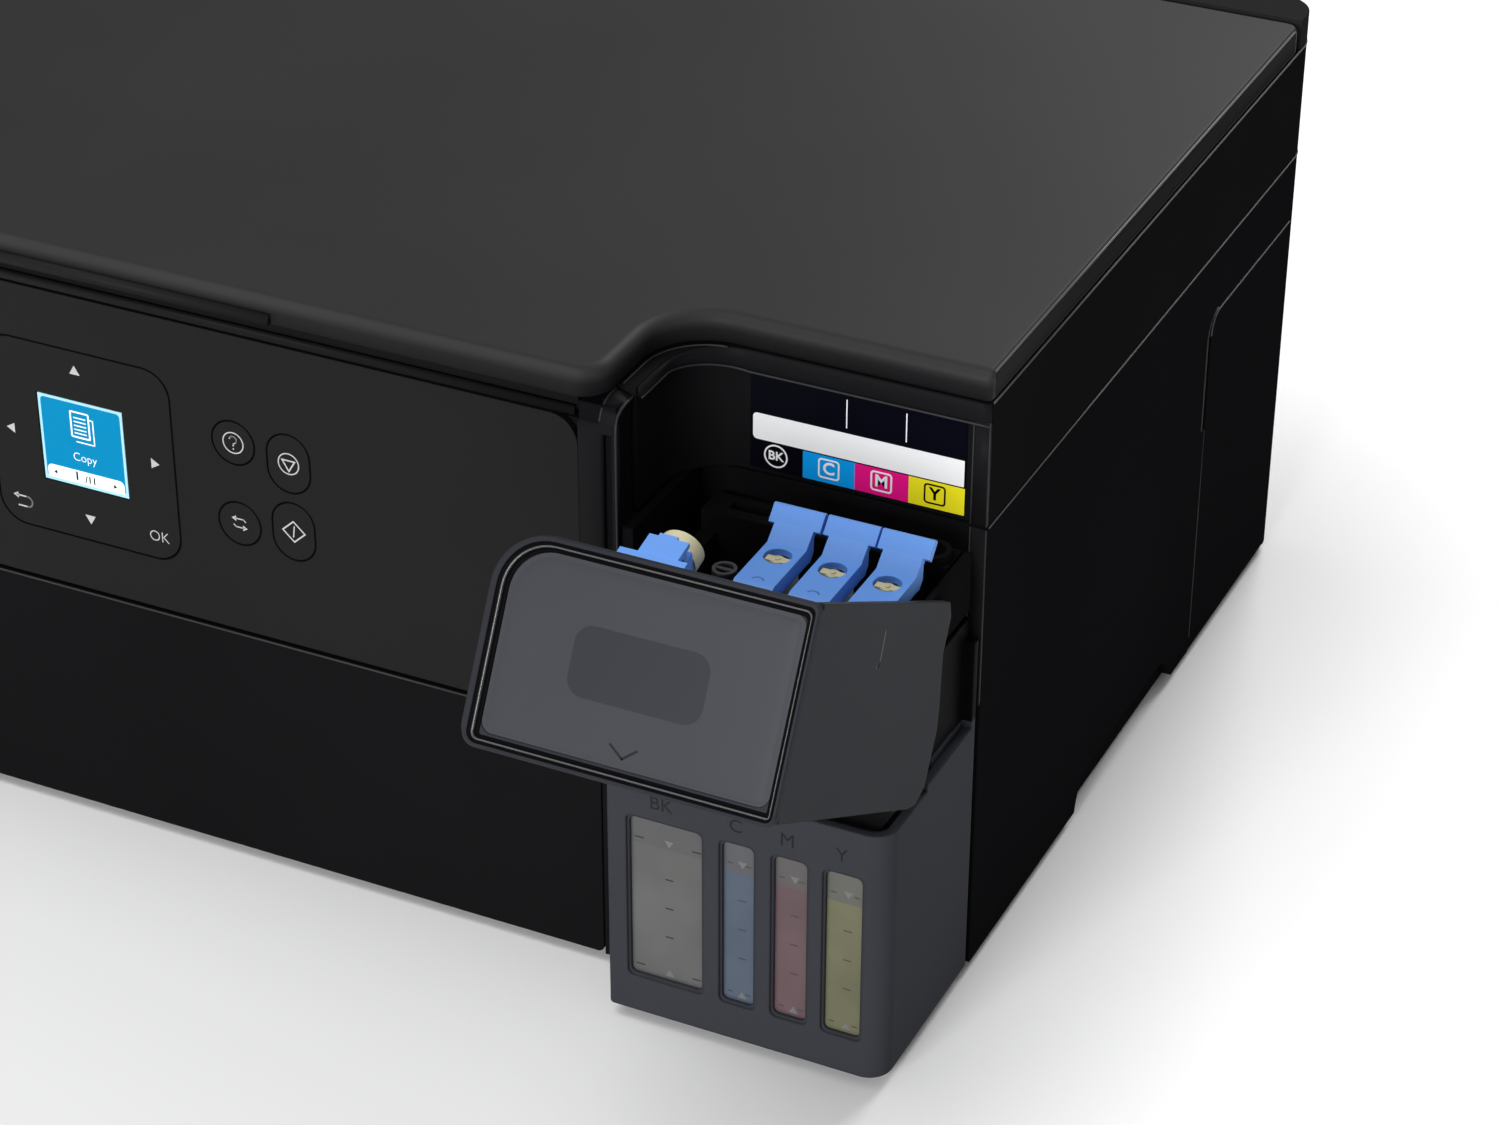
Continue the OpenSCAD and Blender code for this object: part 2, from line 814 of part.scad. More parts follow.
module scanner_case() {
    color(c_case)
        place()
        difference() {
            union() {
                difference() {
                    union() {
                        translate([0, 0, scan_bottom])
                            linear_extrude(rim_top - scan_bottom)
                                scanner_plan(0);
                        // strip between the control panel and the lid
                        block([mouth_left, front_y + 1, 169.7], [panel_mouth_right - 0.4, -135.9, rim_top]);
                        // shoulders behind the posts
                        block([-half_w, -145.8, scan_bottom], [mouth_left - 0.5, -135.9, rim_top]);
                        block([panel_mouth_right + 0.6, -145.8, scan_bottom], [scoop_x, -131, rim_top]);
                        block([-half_w, -145.8, 173.2], [scoop_x, -135.9, rim_top]);
                    }
                    translate([0, 0, scan_bottom + 2.4])
                        linear_extrude(rim_top - scan_bottom - 2.4 - 4.2)
                            scanner_plan(wall);
                    // glass pocket and its window
                    block([-glass_x - 0.2, -glass_y - 0.2, 168], [glass_x + 0.2, glass_y + 0.2, 173.6]);
                    block([-148.5, -108, 160], [148.5, 108, big]);
                }
                // rear bar behind the lid
                translate([0, 0, rim_top - 0.1])
                    linear_extrude(lid_top + 0.5 - rim_top + 0.1)
                        plan(-half_w, half_w, 122.4, rear_y, [0, 0, rear_corner, rear_corner]);
                // rod supports
                for (s = [-1, 1])
                    block([s > 0 ? 178 : -half_w + 1, -7, scan_bottom + 1],
                          [s > 0 ? half_w - 1 : -178, 7, rod_z + 6]);
                // hinge knuckles
                for (x = scan_knuckle_x) {
                    rod_x(x - 10, x + 10, scan_pivot, 2.2);
                    rod_x(x - 13.4, x + 13.4, scan_pivot, cap_pin_r);
                    block([x - 10, 137, scan_bottom], [x + 10, scan_pivot[0], scan_pivot[1] + 2.2]);
                }
            }
            // notches for the lid hinges
            for (x = lid_hinge_x)
                block([x - 12.4, 120, 178], [x + 12.4, 129.6, big]);
            for (x = lid_hinge_x)
                rod_x(x - 15.6, x + 15.6, lid_pivot, cap_pin_r + fit);
            // pockets for the ears of the rear unit
            for (x = scan_knuckle_x)
                for (s = [-1, 1])
                    translate([x + s * ear_x, rear_y, scan_bottom])
                        cube([knuckle_ear + 0.6, 1.6, 5.6], center = true);
            for (s = [-1, 1])
                rod_x(s > 0 ? 177 : -184, s > 0 ? 184 : -177, [0, rod_z], rod_r + fit);
        }
}

module scanner_glass() {
    color([0.75, 0.85, 0.85, 0.5])
        place()
        block([-glass_x, -glass_y, 170.8], [glass_x, glass_y, 173.6]);
}

module scanner_rod() {
    color(c_metal)
        place()
        rod_x(-183.8, 183.8, [0, rod_z], rod_r);
}

module ink_label() {
    color([0.09, 0.09, 0.14])
        place()
        block([121.4, scoop_y - 0.4, 141], [181, scoop_y, 168]);
}

module cis_carriage() {
    color([0.16, 0.16, 0.17])
        place()
        difference() {
            union() {
                block([-172, -12, 143], [-150, 12, 156]);
                block([-172, -106, 155], [-150, 106, 167]);
                block([-165, -108, 166.9], [-157, 108, 170.2]);
            }
            rod_x(-180, -140, [0, rod_z], rod_r + fit);
        }
}

// ---------- document cover ----------

module lid_plan(inset) {
    difference() {
        plan(-half_w + inset, half_w - inset, lid_front_y + inset, lid_rear_y - inset,
             [max(8 - inset, 0), 0, max(4 - inset, 0), max(4 - inset, 0)]);
        scoop_2d(lid_scoop_x - inset, lid_scoop_y + inset, scoop_radius + inset);
        // outer corner where the scoop meets the front edge
        difference() {
            translate([lid_scoop_x - inset - 8, lid_front_y + inset - 1])
                square([20, 9]);
            translate([lid_scoop_x - inset - 8, lid_front_y + inset + 8])
                circle(8);
        }
    }
}

module lid_panel() {
    color([0.25, 0.25, 0.26])
        place()
        union() {
            difference() {
                translate([0, 0, lid_gap_z])
                    linear_extrude(lid_top - lid_gap_z)
                        lid_plan(0);
                translate([0, 0, lid_gap_z - 1])
                    linear_extrude(lid_top - lid_gap_z - 1.6)
                        lid_plan(2.2);
            }
            // finger lip
            block([-120, lid_front_y - 1.8, lid_gap_z + 0.4], [6.4, lid_front_y + 1, lid_gap_z + 3.2]);
            for (x = lid_hinge_x) {
                rod_x(x - 12, x + 12, lid_pivot, lid_knuckle_r);
                rod_x(x - 15, x + 15, lid_pivot, cap_pin_r);
                block([x - 12, lid_rear_y - 2, lid_pivot[1] - lid_knuckle_r],
                      [x + 12, lid_pivot[0], lid_top]);
            }
        }
}

module lid_pad() {
    color([0.93, 0.93, 0.93])
        place()
        block([-155, -111, 175.5], [155, 111, lid_top - 2.6]);
}

// ---------- control panel ----------

module oval_2d(at, grow) {
    for (s = [-1, 1])
        translate([at[0], at[1] + s * oval_key_shift])
            circle(round_key_radius + grow);
    translate([at[0] - round_key_radius - grow, at[1] - oval_key_shift])
        square([2 * (round_key_radius + grow), 2 * oval_key_shift]);
}

module round_2d(at, grow) {
    translate(at)
        circle(round_key_radius + grow);
}

module nav_2d(grow) {
    plan(nav[0] - grow, nav[1] + grow, nav[2] - grow, nav[3] + grow, [8, 8, 8, 8]);
}

module panel_fascia() {
    color(c_panel)
        place()
        difference() {
            upright(front_y, fascia_t)
                plan(panel_x0, panel_x1, panel_z0, panel_z1, [1, 1, panel_corner, 2]);
            upright(front_y - 1, fascia_t + 2) {
                nav_2d(0);
                round_2d(help_key, 0);
                round_2d(swap_key, 0);
                oval_2d(stop_key, 0);
                oval_2d(start_key, 0);
                round_2d(power_key, 0);
            }
        }
}

module panel_back() {
    plate_y = front_y + 3.7;
    color([0.1, 0.1, 0.1])
        place()
        union() {
            difference() {
                block([panel_x0 + 1, front_y + fascia_t, panel_z0 + 1], [panel_x1 - 1, -141.6, panel_z1 - 1]);
                block([panel_x0 + 3, front_y, panel_z0 + 3], [panel_x1 - 3, plate_y, panel_z1 - 3]);
                block([panel_x0 + 3, plate_y + 1.6, panel_z0 + 3], [panel_x1 - 3, -143.6, panel_z1 - 3]);
            }
            // pivot pins
            rod_x(panel_x0 - 3, panel_x0 + 6, panel_pivot, 2);
            rod_x(panel_x1 - 6, panel_x1 + 3, panel_pivot, 2);
        }
}

module lcd_module() {
    color([0.1, 0.5, 0.75])
        place()
        block([lcd[0], front_y + 0.2, lcd[2]], [lcd[1], front_y + 3.7, lcd[3]]);
}

key_front = 2.4;
flange_t = 0.6;

module key_nav() {
    color(c_panel)
        place()
        difference() {
            union() {
                upright(front_y, key_front)
                    nav_2d(-key_gap);
                upright(front_y + fascia_t + 0.05, flange_t)
                    nav_2d(0.8);
            }
            block([lcd[0] - 0.3, -200, lcd[2] - 0.3], [lcd[1] + 0.3, 0, lcd[3] + 0.3]);
        }
}

module round_key(at) {
    color(c_panel)
        place() {
        upright(front_y, key_front)
            round_2d(at, -key_gap);
        upright(front_y + fascia_t + 0.05, flange_t)
            round_2d(at, 0.8);
    }
}

module oval_key(at) {
    color(c_panel)
        place() {
        upright(front_y, key_front)
            oval_2d(at, -key_gap);
        upright(front_y + fascia_t + 0.05, flange_t)
            oval_2d(at, 0.8);
    }
}

module key_help() {
    round_key(help_key);
}

module key_swap() {
    round_key(swap_key);
}

module key_stop() {
    oval_key(stop_key);
}

module key_start() {
    oval_key(start_key);
}

module key_power() {
    round_key(power_key);
}

// ---------- paper trays ----------

tray_half = 110;
cover_hinge = [-148.6, 9];

module output_tray() {
    color(c_panel)
        place()
        union() {
            block([paper_cx - tray_half, -138, 7], [paper_cx + tray_half, -26, 9.4]);
            for (s = [-1, 1])
                block([paper_cx + s * (tray_half - 1.2) - 1.2, -138, 7],
                      [paper_cx + s * (tray_half - 1.2) + 1.2, -26, 14]);
            block([paper_cx - tray_half, -28.4, 7], [paper_cx + tray_half, -26, 16]);
        }
}

module tray_extension() {
    inner = tray_half - 3;
    color(c_panel)
        place()
        difference() {
            union() {
                block([paper_cx - inner, -140, 9.8], [paper_cx + inner, -50, 12]);
                for (s = [-1, 1]) {
                    block([paper_cx + s * 80 - 5, -149.4, 8], [paper_cx + s * 80 + 5, -139, 12]);
                    rod_x(paper_cx + s * 80 - 5, paper_cx + s * 80 + 5,
                          [cover_hinge[0] + 0.2, cover_hinge[1] + 0.4], 1.9);
                }
            }
            rod_x(paper_cx - 100, paper_cx + 100, cover_hinge, 1 + fit);
            for (s = [-1, 1])
                block([paper_cx + s * 80 - 6, -151, 5], [paper_cx + s * 80 + 6, -147.2, 7.1]);
        }
}

module front_cover() {
    color(c_case)
        place()
        union() {
            upright(front_y, 3.6)
                plan(mouth_left + 0.3, mouth_right - 0.4, 3.4, 75.2, [1, 2, 2, 1]);
            for (s = [-1, 1])
                for (t = [-1, 1]) {
                    block([paper_cx + s * 80 + t * 7.2 - 1.8, -151, cover_hinge[1] - 1.8],
                          [paper_cx + s * 80 + t * 7.2 + 1.8, cover_hinge[0], cover_hinge[1] + 1.8]);
                    rod_x(paper_cx + s * 80 + t * 7.2 - 1.8, paper_cx + s * 80 + t * 7.2 + 1.8,
                          cover_hinge, 1.8);
                }
            for (s = [-1, 1])
                rod_x(paper_cx + s * 80 - 8, paper_cx + s * 80 + 8, cover_hinge, 1);
            // stiffening rib
            block([paper_cx - 90, -150.8, 62], [paper_cx + 90, -148, 64]);
        }
}

module feeder_guard() {
    color(c_case)
        place()
        union() {
            block([paper_cx - 107.4, 145, 134.4], [paper_cx + 107.4, 162.4, 136.4]);
            rod_x(paper_cx - 107.4, paper_cx + 107.4, [162.4, 135.8], 1.4);
            rod_x(paper_cx - 110.8, paper_cx + 110.8, [162.4, 135.8], 1);
        }
}

module paper_support() {
    color(c_case)
        place()
        union() {
            block([paper_cx - 105, 165.6, 42], [paper_cx + 105, 168.4, 134.6]);
            block([paper_cx - 20, 165.6, 134.5], [paper_cx + 20, 168.4, 137]);
        }
}

module guide_left() {
    color(c_panel)
        place()
        block([paper_cx - paper_width / 2 + 0.4, 147, 60], [paper_cx - paper_width / 2 + 2.8, 161.6, 132.6]);
}

module guide_right() {
    color(c_panel)
        place()
        block([paper_cx + paper_width / 2 - 2.8, 147, 60], [paper_cx + paper_width / 2 - 0.4, 161.6, 132.6]);
}

module rear_cover() {
    color(c_case)
        place()
        block([paper_cx - 107.6, 171.2, 20.4], [paper_cx + 107.6, rear_unit_y1, 95.6]);
}

// ---------- print engine ----------

module engine_frame() {
    color(c_metal)
        place()
        difference() {
            union() {
                block([-166, frame_y, 5.6], [176, frame_y + 2, 126]);
                for (x = side_plate_x)
                    block([x, -22, 5.6], [x + 2, frame_y + 1, 59]);
                // shaft brackets
                for (x = [-166, 174])
                    block([x, 44, 92], [x + 2, frame_y + 1, 116]);
            }
            // paper passage
            block([paper_cx - slot_half, 0, 36], [paper_cx + slot_half, 90, 64]);
            rod_x(-180, 190, feed_axis, shaft_r + fit);
            rod_x(-180, 190, exit_axis, shaft_r + fit);
            rod_x(-180, 190, carriage_axis, rod_r + fit);
            rod_y(60, 80, [-150, 112], 3);
            rod_y(60, 80, [165, 112], 2 + fit);
        }
}

module guide_shaft() {
    color(c_metal)
        place()
        rod_x(-168, 178, carriage_axis, rod_r);
}

module carriage_motor() {
    color([0.3, 0.3, 0.32])
        place() {
        rod_y(frame_y + 2, 94, [-150, 112], 14);
        rod_y(60.6, frame_y + 2.1, [-150, 112], 2.6);
        rod_y(60.6, 65, [-150, 112], 4.95);
    }
}

module timing_belt() {
    color([0.08, 0.08, 0.08])
        place()
        difference() {
            union() {
                block([-150, 61, 105.8], [165, 64.6, 118.2]);
                rod_y(61, 64.6, [-150, 112], 6.2);
                rod_y(61, 64.6, [165, 112], 6.2);
            }
            difference() {
                union() {
                    block([-150, 60, 107], [165, 66, 117]);
                    rod_y(60, 66, [-150, 112], 5);
                    rod_y(60, 66, [165, 112], 5);
                }
                rod_y(61, 64.6, [165, 112], 4.2);
            }
            rod_y(60, 66, [165, 112], 2);
        }
    color([0.2, 0.2, 0.2])
        place() {
        rod_y(61, 64.6, [165, 112], 5);
        rod_y(60.8, frame_y, [165, 112], 1.9);
    }
}

module platen() {
    color(c_case)
        place() {
        block([side_plate_x[0] + 2, 2, 44], [side_plate_x[1], 46, 50]);
        for (i = [0:10])
            block([paper_cx - 101 + i * 20, 2, 49.9], [paper_cx - 99 + i * 20, 46, 55]);
        block([side_plate_x[0] + 2, 20, 5.6], [side_plate_x[0] + 10, 30, 44.1]);
        block([side_plate_x[1] - 8, 20, 5.6], [side_plate_x[1], 30, 44.1]);
    }
}

module capping_station() {
    color([0.2, 0.2, 0.22])
        place() {
        block([110, 0, 5.6], [160, 50, 50]);
        difference() {
            block([114, 6, 49.9], [150, 46, 57]);
            block([116, 8, 52], [148, 44, 60]);
        }
    }
}

module main_board() {
    color([0.1, 0.35, 0.2])
        place()
        union() {
            block([-181.6, -60, 40], [-180, 60, 112]);
            for (y = [-52, 52])
                for (z = [48, 104])
                    rod_x(-half_w + wall, -181.5, [y, z], 3);
            block([-180.1, -20, 60], [-177, 6, 86]);
            block([-180.1, 20, 66], [-178, 36, 82]);
            for (i = [0:4])
                block([-180.1, -50 + i * 20, 44], [-172, -38 + i * 20, 50]);
        }
}

module power_supply() {
    color([0.2, 0.2, 0.2])
        place()
        union() {
            block([-183, 72, 5.6], [-146, 116, 20.1]);
            block([-183, 72, 20], [-146, 127, 50]);
            for (i = [0:5])
                block([-180, 76 + i * 8, 49.9], [-150, 79 + i * 8, 52]);
        }
}

module ac_inlet() {
    color([0.12, 0.12, 0.12])
        place()
        difference() {
            block([-179.8, 127, 18.2], [-152.2, rear_y, 41.8]);
            block([-176.5, 130, 22], [-155.5, rear_y + 1, 38]);
        }
    color(c_metal)
        place()
        for (x = [-170, -162])
            block([x - 1, 129.9, 28], [x + 1, 137, 32]);
}

module usb_port() {
    color(c_metal)
        place()
        difference() {
            union() {
                block([-178.8, 126, 58.2], [-163.2, rear_y - 0.4, 73.8]);
                block([-half_w + wall, 122, 56], [-164, 129, 58.3]);
            }
            block([-176.6, 129, 60.4], [-165.4, rear_y + 1, 71.6]);
        }
}

module carriage_case() {
    x0 = carriage_cx - 42;
    x1 = carriage_cx + 42;
    color([0.13, 0.13, 0.14])
        place()
        difference() {
            union() {
                block([x0, -6, 66], [x1, 46, 112]);
                block([x0, 40, 92], [x1, 59.6, 112]);
            }
            block([x0 + 4, -2, 84], [x1 - 4, 36, 120]);
            rod_x(x0 - 1, x1 + 1, carriage_axis, rod_r + fit);
        }
}

module print_head() {
    color(c_metal)
        place()
        block([carriage_cx - 26, 10, 59.4], [carriage_cx + 22, 42, 66]);
}

module roller(axis, r) {
    rod_x(side_plate_x[0] - 8, side_plate_x[1] + 5, axis, shaft_r);
    for (i = [0:4])
        rod_x(paper_cx - 100 + i * 42, paper_cx - 72 + i * 42, axis, r);
    rod_x(side_plate_x[0] - 8, side_plate_x[0] - 2, axis, r * 1.35);
}

module feed_roller() {
    color([0.25, 0.25, 0.25])
        place()
        roller(feed_axis, feed_roller_radius);
}

module exit_roller() {
    color([0.25, 0.25, 0.25])
        place()
        roller(exit_axis, exit_roller_radius);
}

// ---------- assembly ----------

main_case();
base_plate();
feet();
case_screws();
rear_side_cover();
rear_housing();
tank_housing();
tank_deck();
tank_black();
tank_cyan();
tank_magenta();
tank_yellow();
engine_frame();
guide_shaft();
carriage_motor();
timing_belt();
platen();
capping_station();
main_board();
power_supply();
ac_inlet();
usb_port();
scanner_case();
scanner_glass();
scanner_rod();
ink_label();
cis_carriage();
lid_panel();
lid_pad();
panel_fascia();
panel_back();
lcd_module();
key_nav();
key_help();
key_swap();
key_stop();
key_start();
key_power();
output_tray();
tray_extension();
front_cover();
cover_shell();
cover_panel();
cap_black();
seal_black();
cap_cyan();
seal_cyan();
cap_magenta();
seal_magenta();
cap_yellow();
seal_yellow();
feeder_guard();
paper_support();
guide_left();
guide_right();
rear_cover();
carriage_case();
print_head();
feed_roller();
exit_roller();
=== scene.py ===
import bpy
import bmesh
import math
from mathutils import Matrix, Vector


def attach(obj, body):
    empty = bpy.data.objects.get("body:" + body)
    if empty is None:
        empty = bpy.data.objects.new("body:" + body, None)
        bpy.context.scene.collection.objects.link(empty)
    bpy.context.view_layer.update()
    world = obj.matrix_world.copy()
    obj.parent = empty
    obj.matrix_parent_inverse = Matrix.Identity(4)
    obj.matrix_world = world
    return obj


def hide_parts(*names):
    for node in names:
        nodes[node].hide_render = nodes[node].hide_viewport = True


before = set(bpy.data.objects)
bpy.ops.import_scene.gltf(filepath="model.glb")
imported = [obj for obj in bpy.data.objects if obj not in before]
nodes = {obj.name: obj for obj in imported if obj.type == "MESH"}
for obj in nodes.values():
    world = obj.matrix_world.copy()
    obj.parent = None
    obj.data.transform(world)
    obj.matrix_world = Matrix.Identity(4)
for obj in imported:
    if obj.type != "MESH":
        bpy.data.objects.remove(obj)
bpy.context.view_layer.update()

# Shapes are drawn in mm in the row's frame, with +X to the machine's right, -Y to its front and +Z up.
# MM turns them into Blender's metres.
MM = 0.001


# ---------- material helpers ----------

# Noise scales count waves per metre.
DRIFT_SCALE = 9.0
GRAIN_DEPTH = 0.06
COAT_ROUGHNESS = 0.12
# A level in mm that no part of the printer reaches.
NOWHERE = 900.0


def new_material(name):
    """A new material with its node tree and its shader."""
    mat = bpy.data.materials.new(name)
    mat.use_nodes = True
    tree = mat.node_tree
    return mat, tree, tree.nodes["Principled BSDF"]


def feed(tree, socket, value):
    """Gives a socket a number, a colour or another socket's output."""
    if isinstance(value, bpy.types.NodeSocket):
        tree.links.new(value, socket)
    elif isinstance(value, tuple):
        socket.default_value = (*value, 1)
    else:
        socket.default_value = value


def noise(tree, scale, detail=2.0):
    """Soft noise fixed to the object."""
    coord = tree.nodes.new("ShaderNodeTexCoord")
    tex = tree.nodes.new("ShaderNodeTexNoise")
    tex.inputs["Scale"].default_value = scale
    tex.inputs["Detail"].default_value = detail
    tree.links.new(coord.outputs["Object"], tex.inputs["Vector"])
    return tex


def ramp(tree, source, low, high, start=0.3, end=0.7):
    """A colour that goes from low to high as the source goes from start to end."""
    node = tree.nodes.new("ShaderNodeValToRGB")
    for element, at, color in zip(node.color_ramp.elements, (start, end), (low, high)):
        element.position = at
        element.color = (*color, 1)
    tree.links.new(source, node.inputs["Fac"])
    return node.outputs["Color"]


def spread(tree, source, low, high):
    """A source between 0 and 1 spread from low to high."""
    node = tree.nodes.new("ShaderNodeMapRange")
    node.inputs["To Min"].default_value = low
    node.inputs["To Max"].default_value = high
    tree.links.new(source, node.inputs["Value"])
    return node.outputs["Result"]


def object_axes(tree):
    """The shaded point's X, Y and Z, in metres."""
    coord = tree.nodes.new("ShaderNodeTexCoord")
    split = tree.nodes.new("ShaderNodeSeparateXYZ")
    tree.links.new(coord.outputs["Object"], split.inputs["Vector"])
    return split.outputs


def height_share(tree, low, high):
    """0 at the height low, 1 at the height high, both in mm."""
    node = tree.nodes.new("ShaderNodeMapRange")
    node.inputs["From Min"].default_value = low * MM
    node.inputs["From Max"].default_value = high * MM
    tree.links.new(object_axes(tree)["Z"], node.inputs["Value"])
    return node.outputs["Result"]


def arithmetic(tree, kind, a, b):
    """A sum of one kind on two numbers or sockets."""
    node = tree.nodes.new("ShaderNodeMath")
    node.operation = kind
    feed(tree, node.inputs[0], a)
    feed(tree, node.inputs[1], b)
    return node.outputs[0]


def mixed(tree, share, first, second, kind="MIX"):
    """Two colours mixed; RGBA sockets of the Mix node are its inputs 6 and 7 and its output 2."""
    node = tree.nodes.new("ShaderNodeMix")
    node.data_type = "RGBA"
    node.blend_type = kind
    feed(tree, node.inputs["Factor"], share)
    feed(tree, node.inputs[6], first)
    feed(tree, node.inputs[7], second)
    return node.outputs[2]


def masked(tree, plain, dark, y_from, z_from, z_all):
    """Paints the colour dark behind y_from and above z_from, and everything above z_all; on the scanner's top
    that colour is a paler painted highlight.
    """
    axes = object_axes(tree)
    behind = arithmetic(tree, "MULTIPLY", arithmetic(tree, "GREATER_THAN", axes["Y"], y_from * MM),
                        arithmetic(tree, "GREATER_THAN", axes["Z"], z_from * MM))
    above = arithmetic(tree, "GREATER_THAN", axes["Z"], z_all * MM)
    return mixed(tree, arithmetic(tree, "MAXIMUM", behind, above), plain, dark)


def shaded_by_height(tree, plain, z0, z1, stops):
    """Paints light and shade into a moulding's colour from z0 to z1; a stop is a share of the height and a
    factor.
    """
    tone = tree.nodes.new("ShaderNodeValToRGB")
    for at, _ in stops[1:-1]:
        tone.color_ramp.elements.new(at)
    for element, (at, factor) in zip(tone.color_ramp.elements, stops):
        element.position = at
        element.color = (factor / 2, factor / 2, factor / 2, 1)
    tree.links.new(height_share(tree, z0, z1), tone.inputs["Fac"])
    double = tree.nodes.new("ShaderNodeVectorMath")
    double.operation = "SCALE"
    double.inputs["Scale"].default_value = 2.0
    tree.links.new(tone.outputs["Color"], double.inputs[0])
    both = tree.nodes.new("ShaderNodeVectorMath")
    both.operation = "MULTIPLY"
    tree.links.new(plain, both.inputs[0])
    tree.links.new(double.outputs["Vector"], both.inputs[1])
    return both.outputs["Vector"]


def plastic(name, color, rough, spec, grain, bump, vary=0.08, coat=0.0, edge=0.0, mask=None, height=None):
    """Moulded plastic: a fine grain, slow colour drift, uneven roughness and, with edge, soft corners. With
    mask a second colour is painted into part of it, and with height painted light and shade follow the
    height.
    """
    mat, tree, bsdf = new_material(name)
    slow = noise(tree, DRIFT_SCALE)
    fine = noise(tree, grain)
    tone = ramp(tree, slow.outputs["Fac"], [c * (1 - vary) for c in color], [c * (1 + vary) for c in color])
    if mask is not None:
        tone = masked(tree, tone, *mask)
    if height is not None:
        tone = shaded_by_height(tree, tone, *height)
    tree.links.new(tone, bsdf.inputs["Base Color"])
    tree.links.new(spread(tree, fine.outputs["Fac"], rough - 0.05, rough + 0.05), bsdf.inputs["Roughness"])
    relief = tree.nodes.new("ShaderNodeBump")
    if edge:
        round_off = tree.nodes.new("ShaderNodeBevel")
        round_off.samples = 4
        round_off.inputs["Radius"].default_value = edge * MM
        tree.links.new(round_off.outputs["Normal"], relief.inputs["Normal"])
    relief.inputs["Strength"].default_value = bump
    relief.inputs["Distance"].default_value = GRAIN_DEPTH * MM
    tree.links.new(fine.outputs["Fac"], relief.inputs["Height"])
    tree.links.new(relief.outputs["Normal"], bsdf.inputs["Normal"])
    bsdf.inputs["Specular IOR Level"].default_value = spec
    bsdf.inputs["Coat Weight"].default_value = coat
    bsdf.inputs["Coat Roughness"].default_value = COAT_ROUGHNESS
    return mat


def metal(name, color, rough=0.35):
    """Rolled or turned steel with fine streaks along X."""
    mat, tree, bsdf = new_material(name)
    tex = noise(tree, 40.0, 4.0)
    mapping = tree.nodes.new("ShaderNodeMapping")
    mapping.inputs["Scale"].default_value = (1.0, 60.0, 60.0)
    tree.links.new(tex.inputs["Vector"].links[0].from_socket, mapping.inputs["Vector"])
    tree.links.new(mapping.outputs["Vector"], tex.inputs["Vector"])
    tone = ramp(tree, tex.outputs["Fac"], [c * 0.85 for c in color], color)
    tree.links.new(tone, bsdf.inputs["Base Color"])
    tree.links.new(spread(tree, tex.outputs["Fac"], rough - 0.1, rough + 0.1), bsdf.inputs["Roughness"])
    bsdf.inputs["Metallic"].default_value = 1.0
    return mat


def clear(name, color, rough):
    """Clear glass with a trace of unevenness."""
    mat, tree, bsdf = new_material(name)
    tex = noise(tree, 60.0)
    tone = ramp(tree, tex.outputs["Fac"], [c * 0.95 for c in color], color)
    tree.links.new(tone, bsdf.inputs["Base Color"])
    tree.links.new(spread(tree, tex.outputs["Fac"], rough, rough + 0.06), bsdf.inputs["Roughness"])
    bsdf.inputs["Transmission Weight"].default_value = 1.0
    bsdf.inputs["IOR"].default_value = 1.49
    return mat


def glow(name, color, strength):
    """Lit display film: the colour glows a little and drifts slightly."""
    mat, tree, bsdf = new_material(name)
    tex = noise(tree, 30.0)
    tone = ramp(tree, tex.outputs["Fac"], [c * 0.96 for c in color], color)
    tree.links.new(tone, bsdf.inputs["Base Color"])
    tree.links.new(tone, bsdf.inputs["Emission Color"])
    bsdf.inputs["Emission Strength"].default_value = strength
    bsdf.inputs["Roughness"].default_value = 0.4
    bsdf.inputs["Specular IOR Level"].default_value = 0.05
    return mat


def ink_material(name, ink, level, haze=0.085):
    """Ink behind a frosted tank wall: the ink's colour up to its level, and haze above it."""
    mat, tree, bsdf = new_material(name)
    above = tuple(0.2 * c + 0.8 * haze for c in ink)
    body = ramp(tree, height_share(tree, level - 0.3, level + 0.3), ink, above, 0.0, 1.0)
    cloud = noise(tree, 55.0).outputs["Fac"]
    clouds = ramp(tree, cloud, (0.75, 0.75, 0.75), (1.2, 1.2, 1.2))
    tree.links.new(mixed(tree, 0.45, body, clouds, "MULTIPLY"), bsdf.inputs["Base Color"])
    tree.links.new(spread(tree, cloud, 0.3, 0.42), bsdf.inputs["Roughness"])
    bsdf.inputs["Specular IOR Level"].default_value = 0.3
    bsdf.inputs["Coat Weight"].default_value = 0.25
    bsdf.inputs["Coat Roughness"].default_value = 0.2
    return mat


# ---------- materials ----------

# The lid's material is painted darker low on its rounded edge, as shade at its foot, and lighter near its
# top, as a highlight. Every piece in this material, the strip above the panel too, takes this by its height.
LID_SHADING = (176.0, 184.0, ((0.0, 0.35), (0.45, 0.6), (0.72, 1.35), (0.92, 1.45), (1.0, 1.0)))
# The scanner case is painted paler above z 175.6, a painted highlight on its rear ridge's top, which faces
# the light from above.
SCANNER_TOP_PAINTED_LIGHT = ((0.020, 0.020, 0.021), NOWHERE, NOWHERE, 175.6)
# The tank housing is nearly black above z 84.5, and behind y -93 from z 84 up.
TANK_INSIDE = ((0.004, 0.004, 0.005), -93.0, 84.0, 84.5)

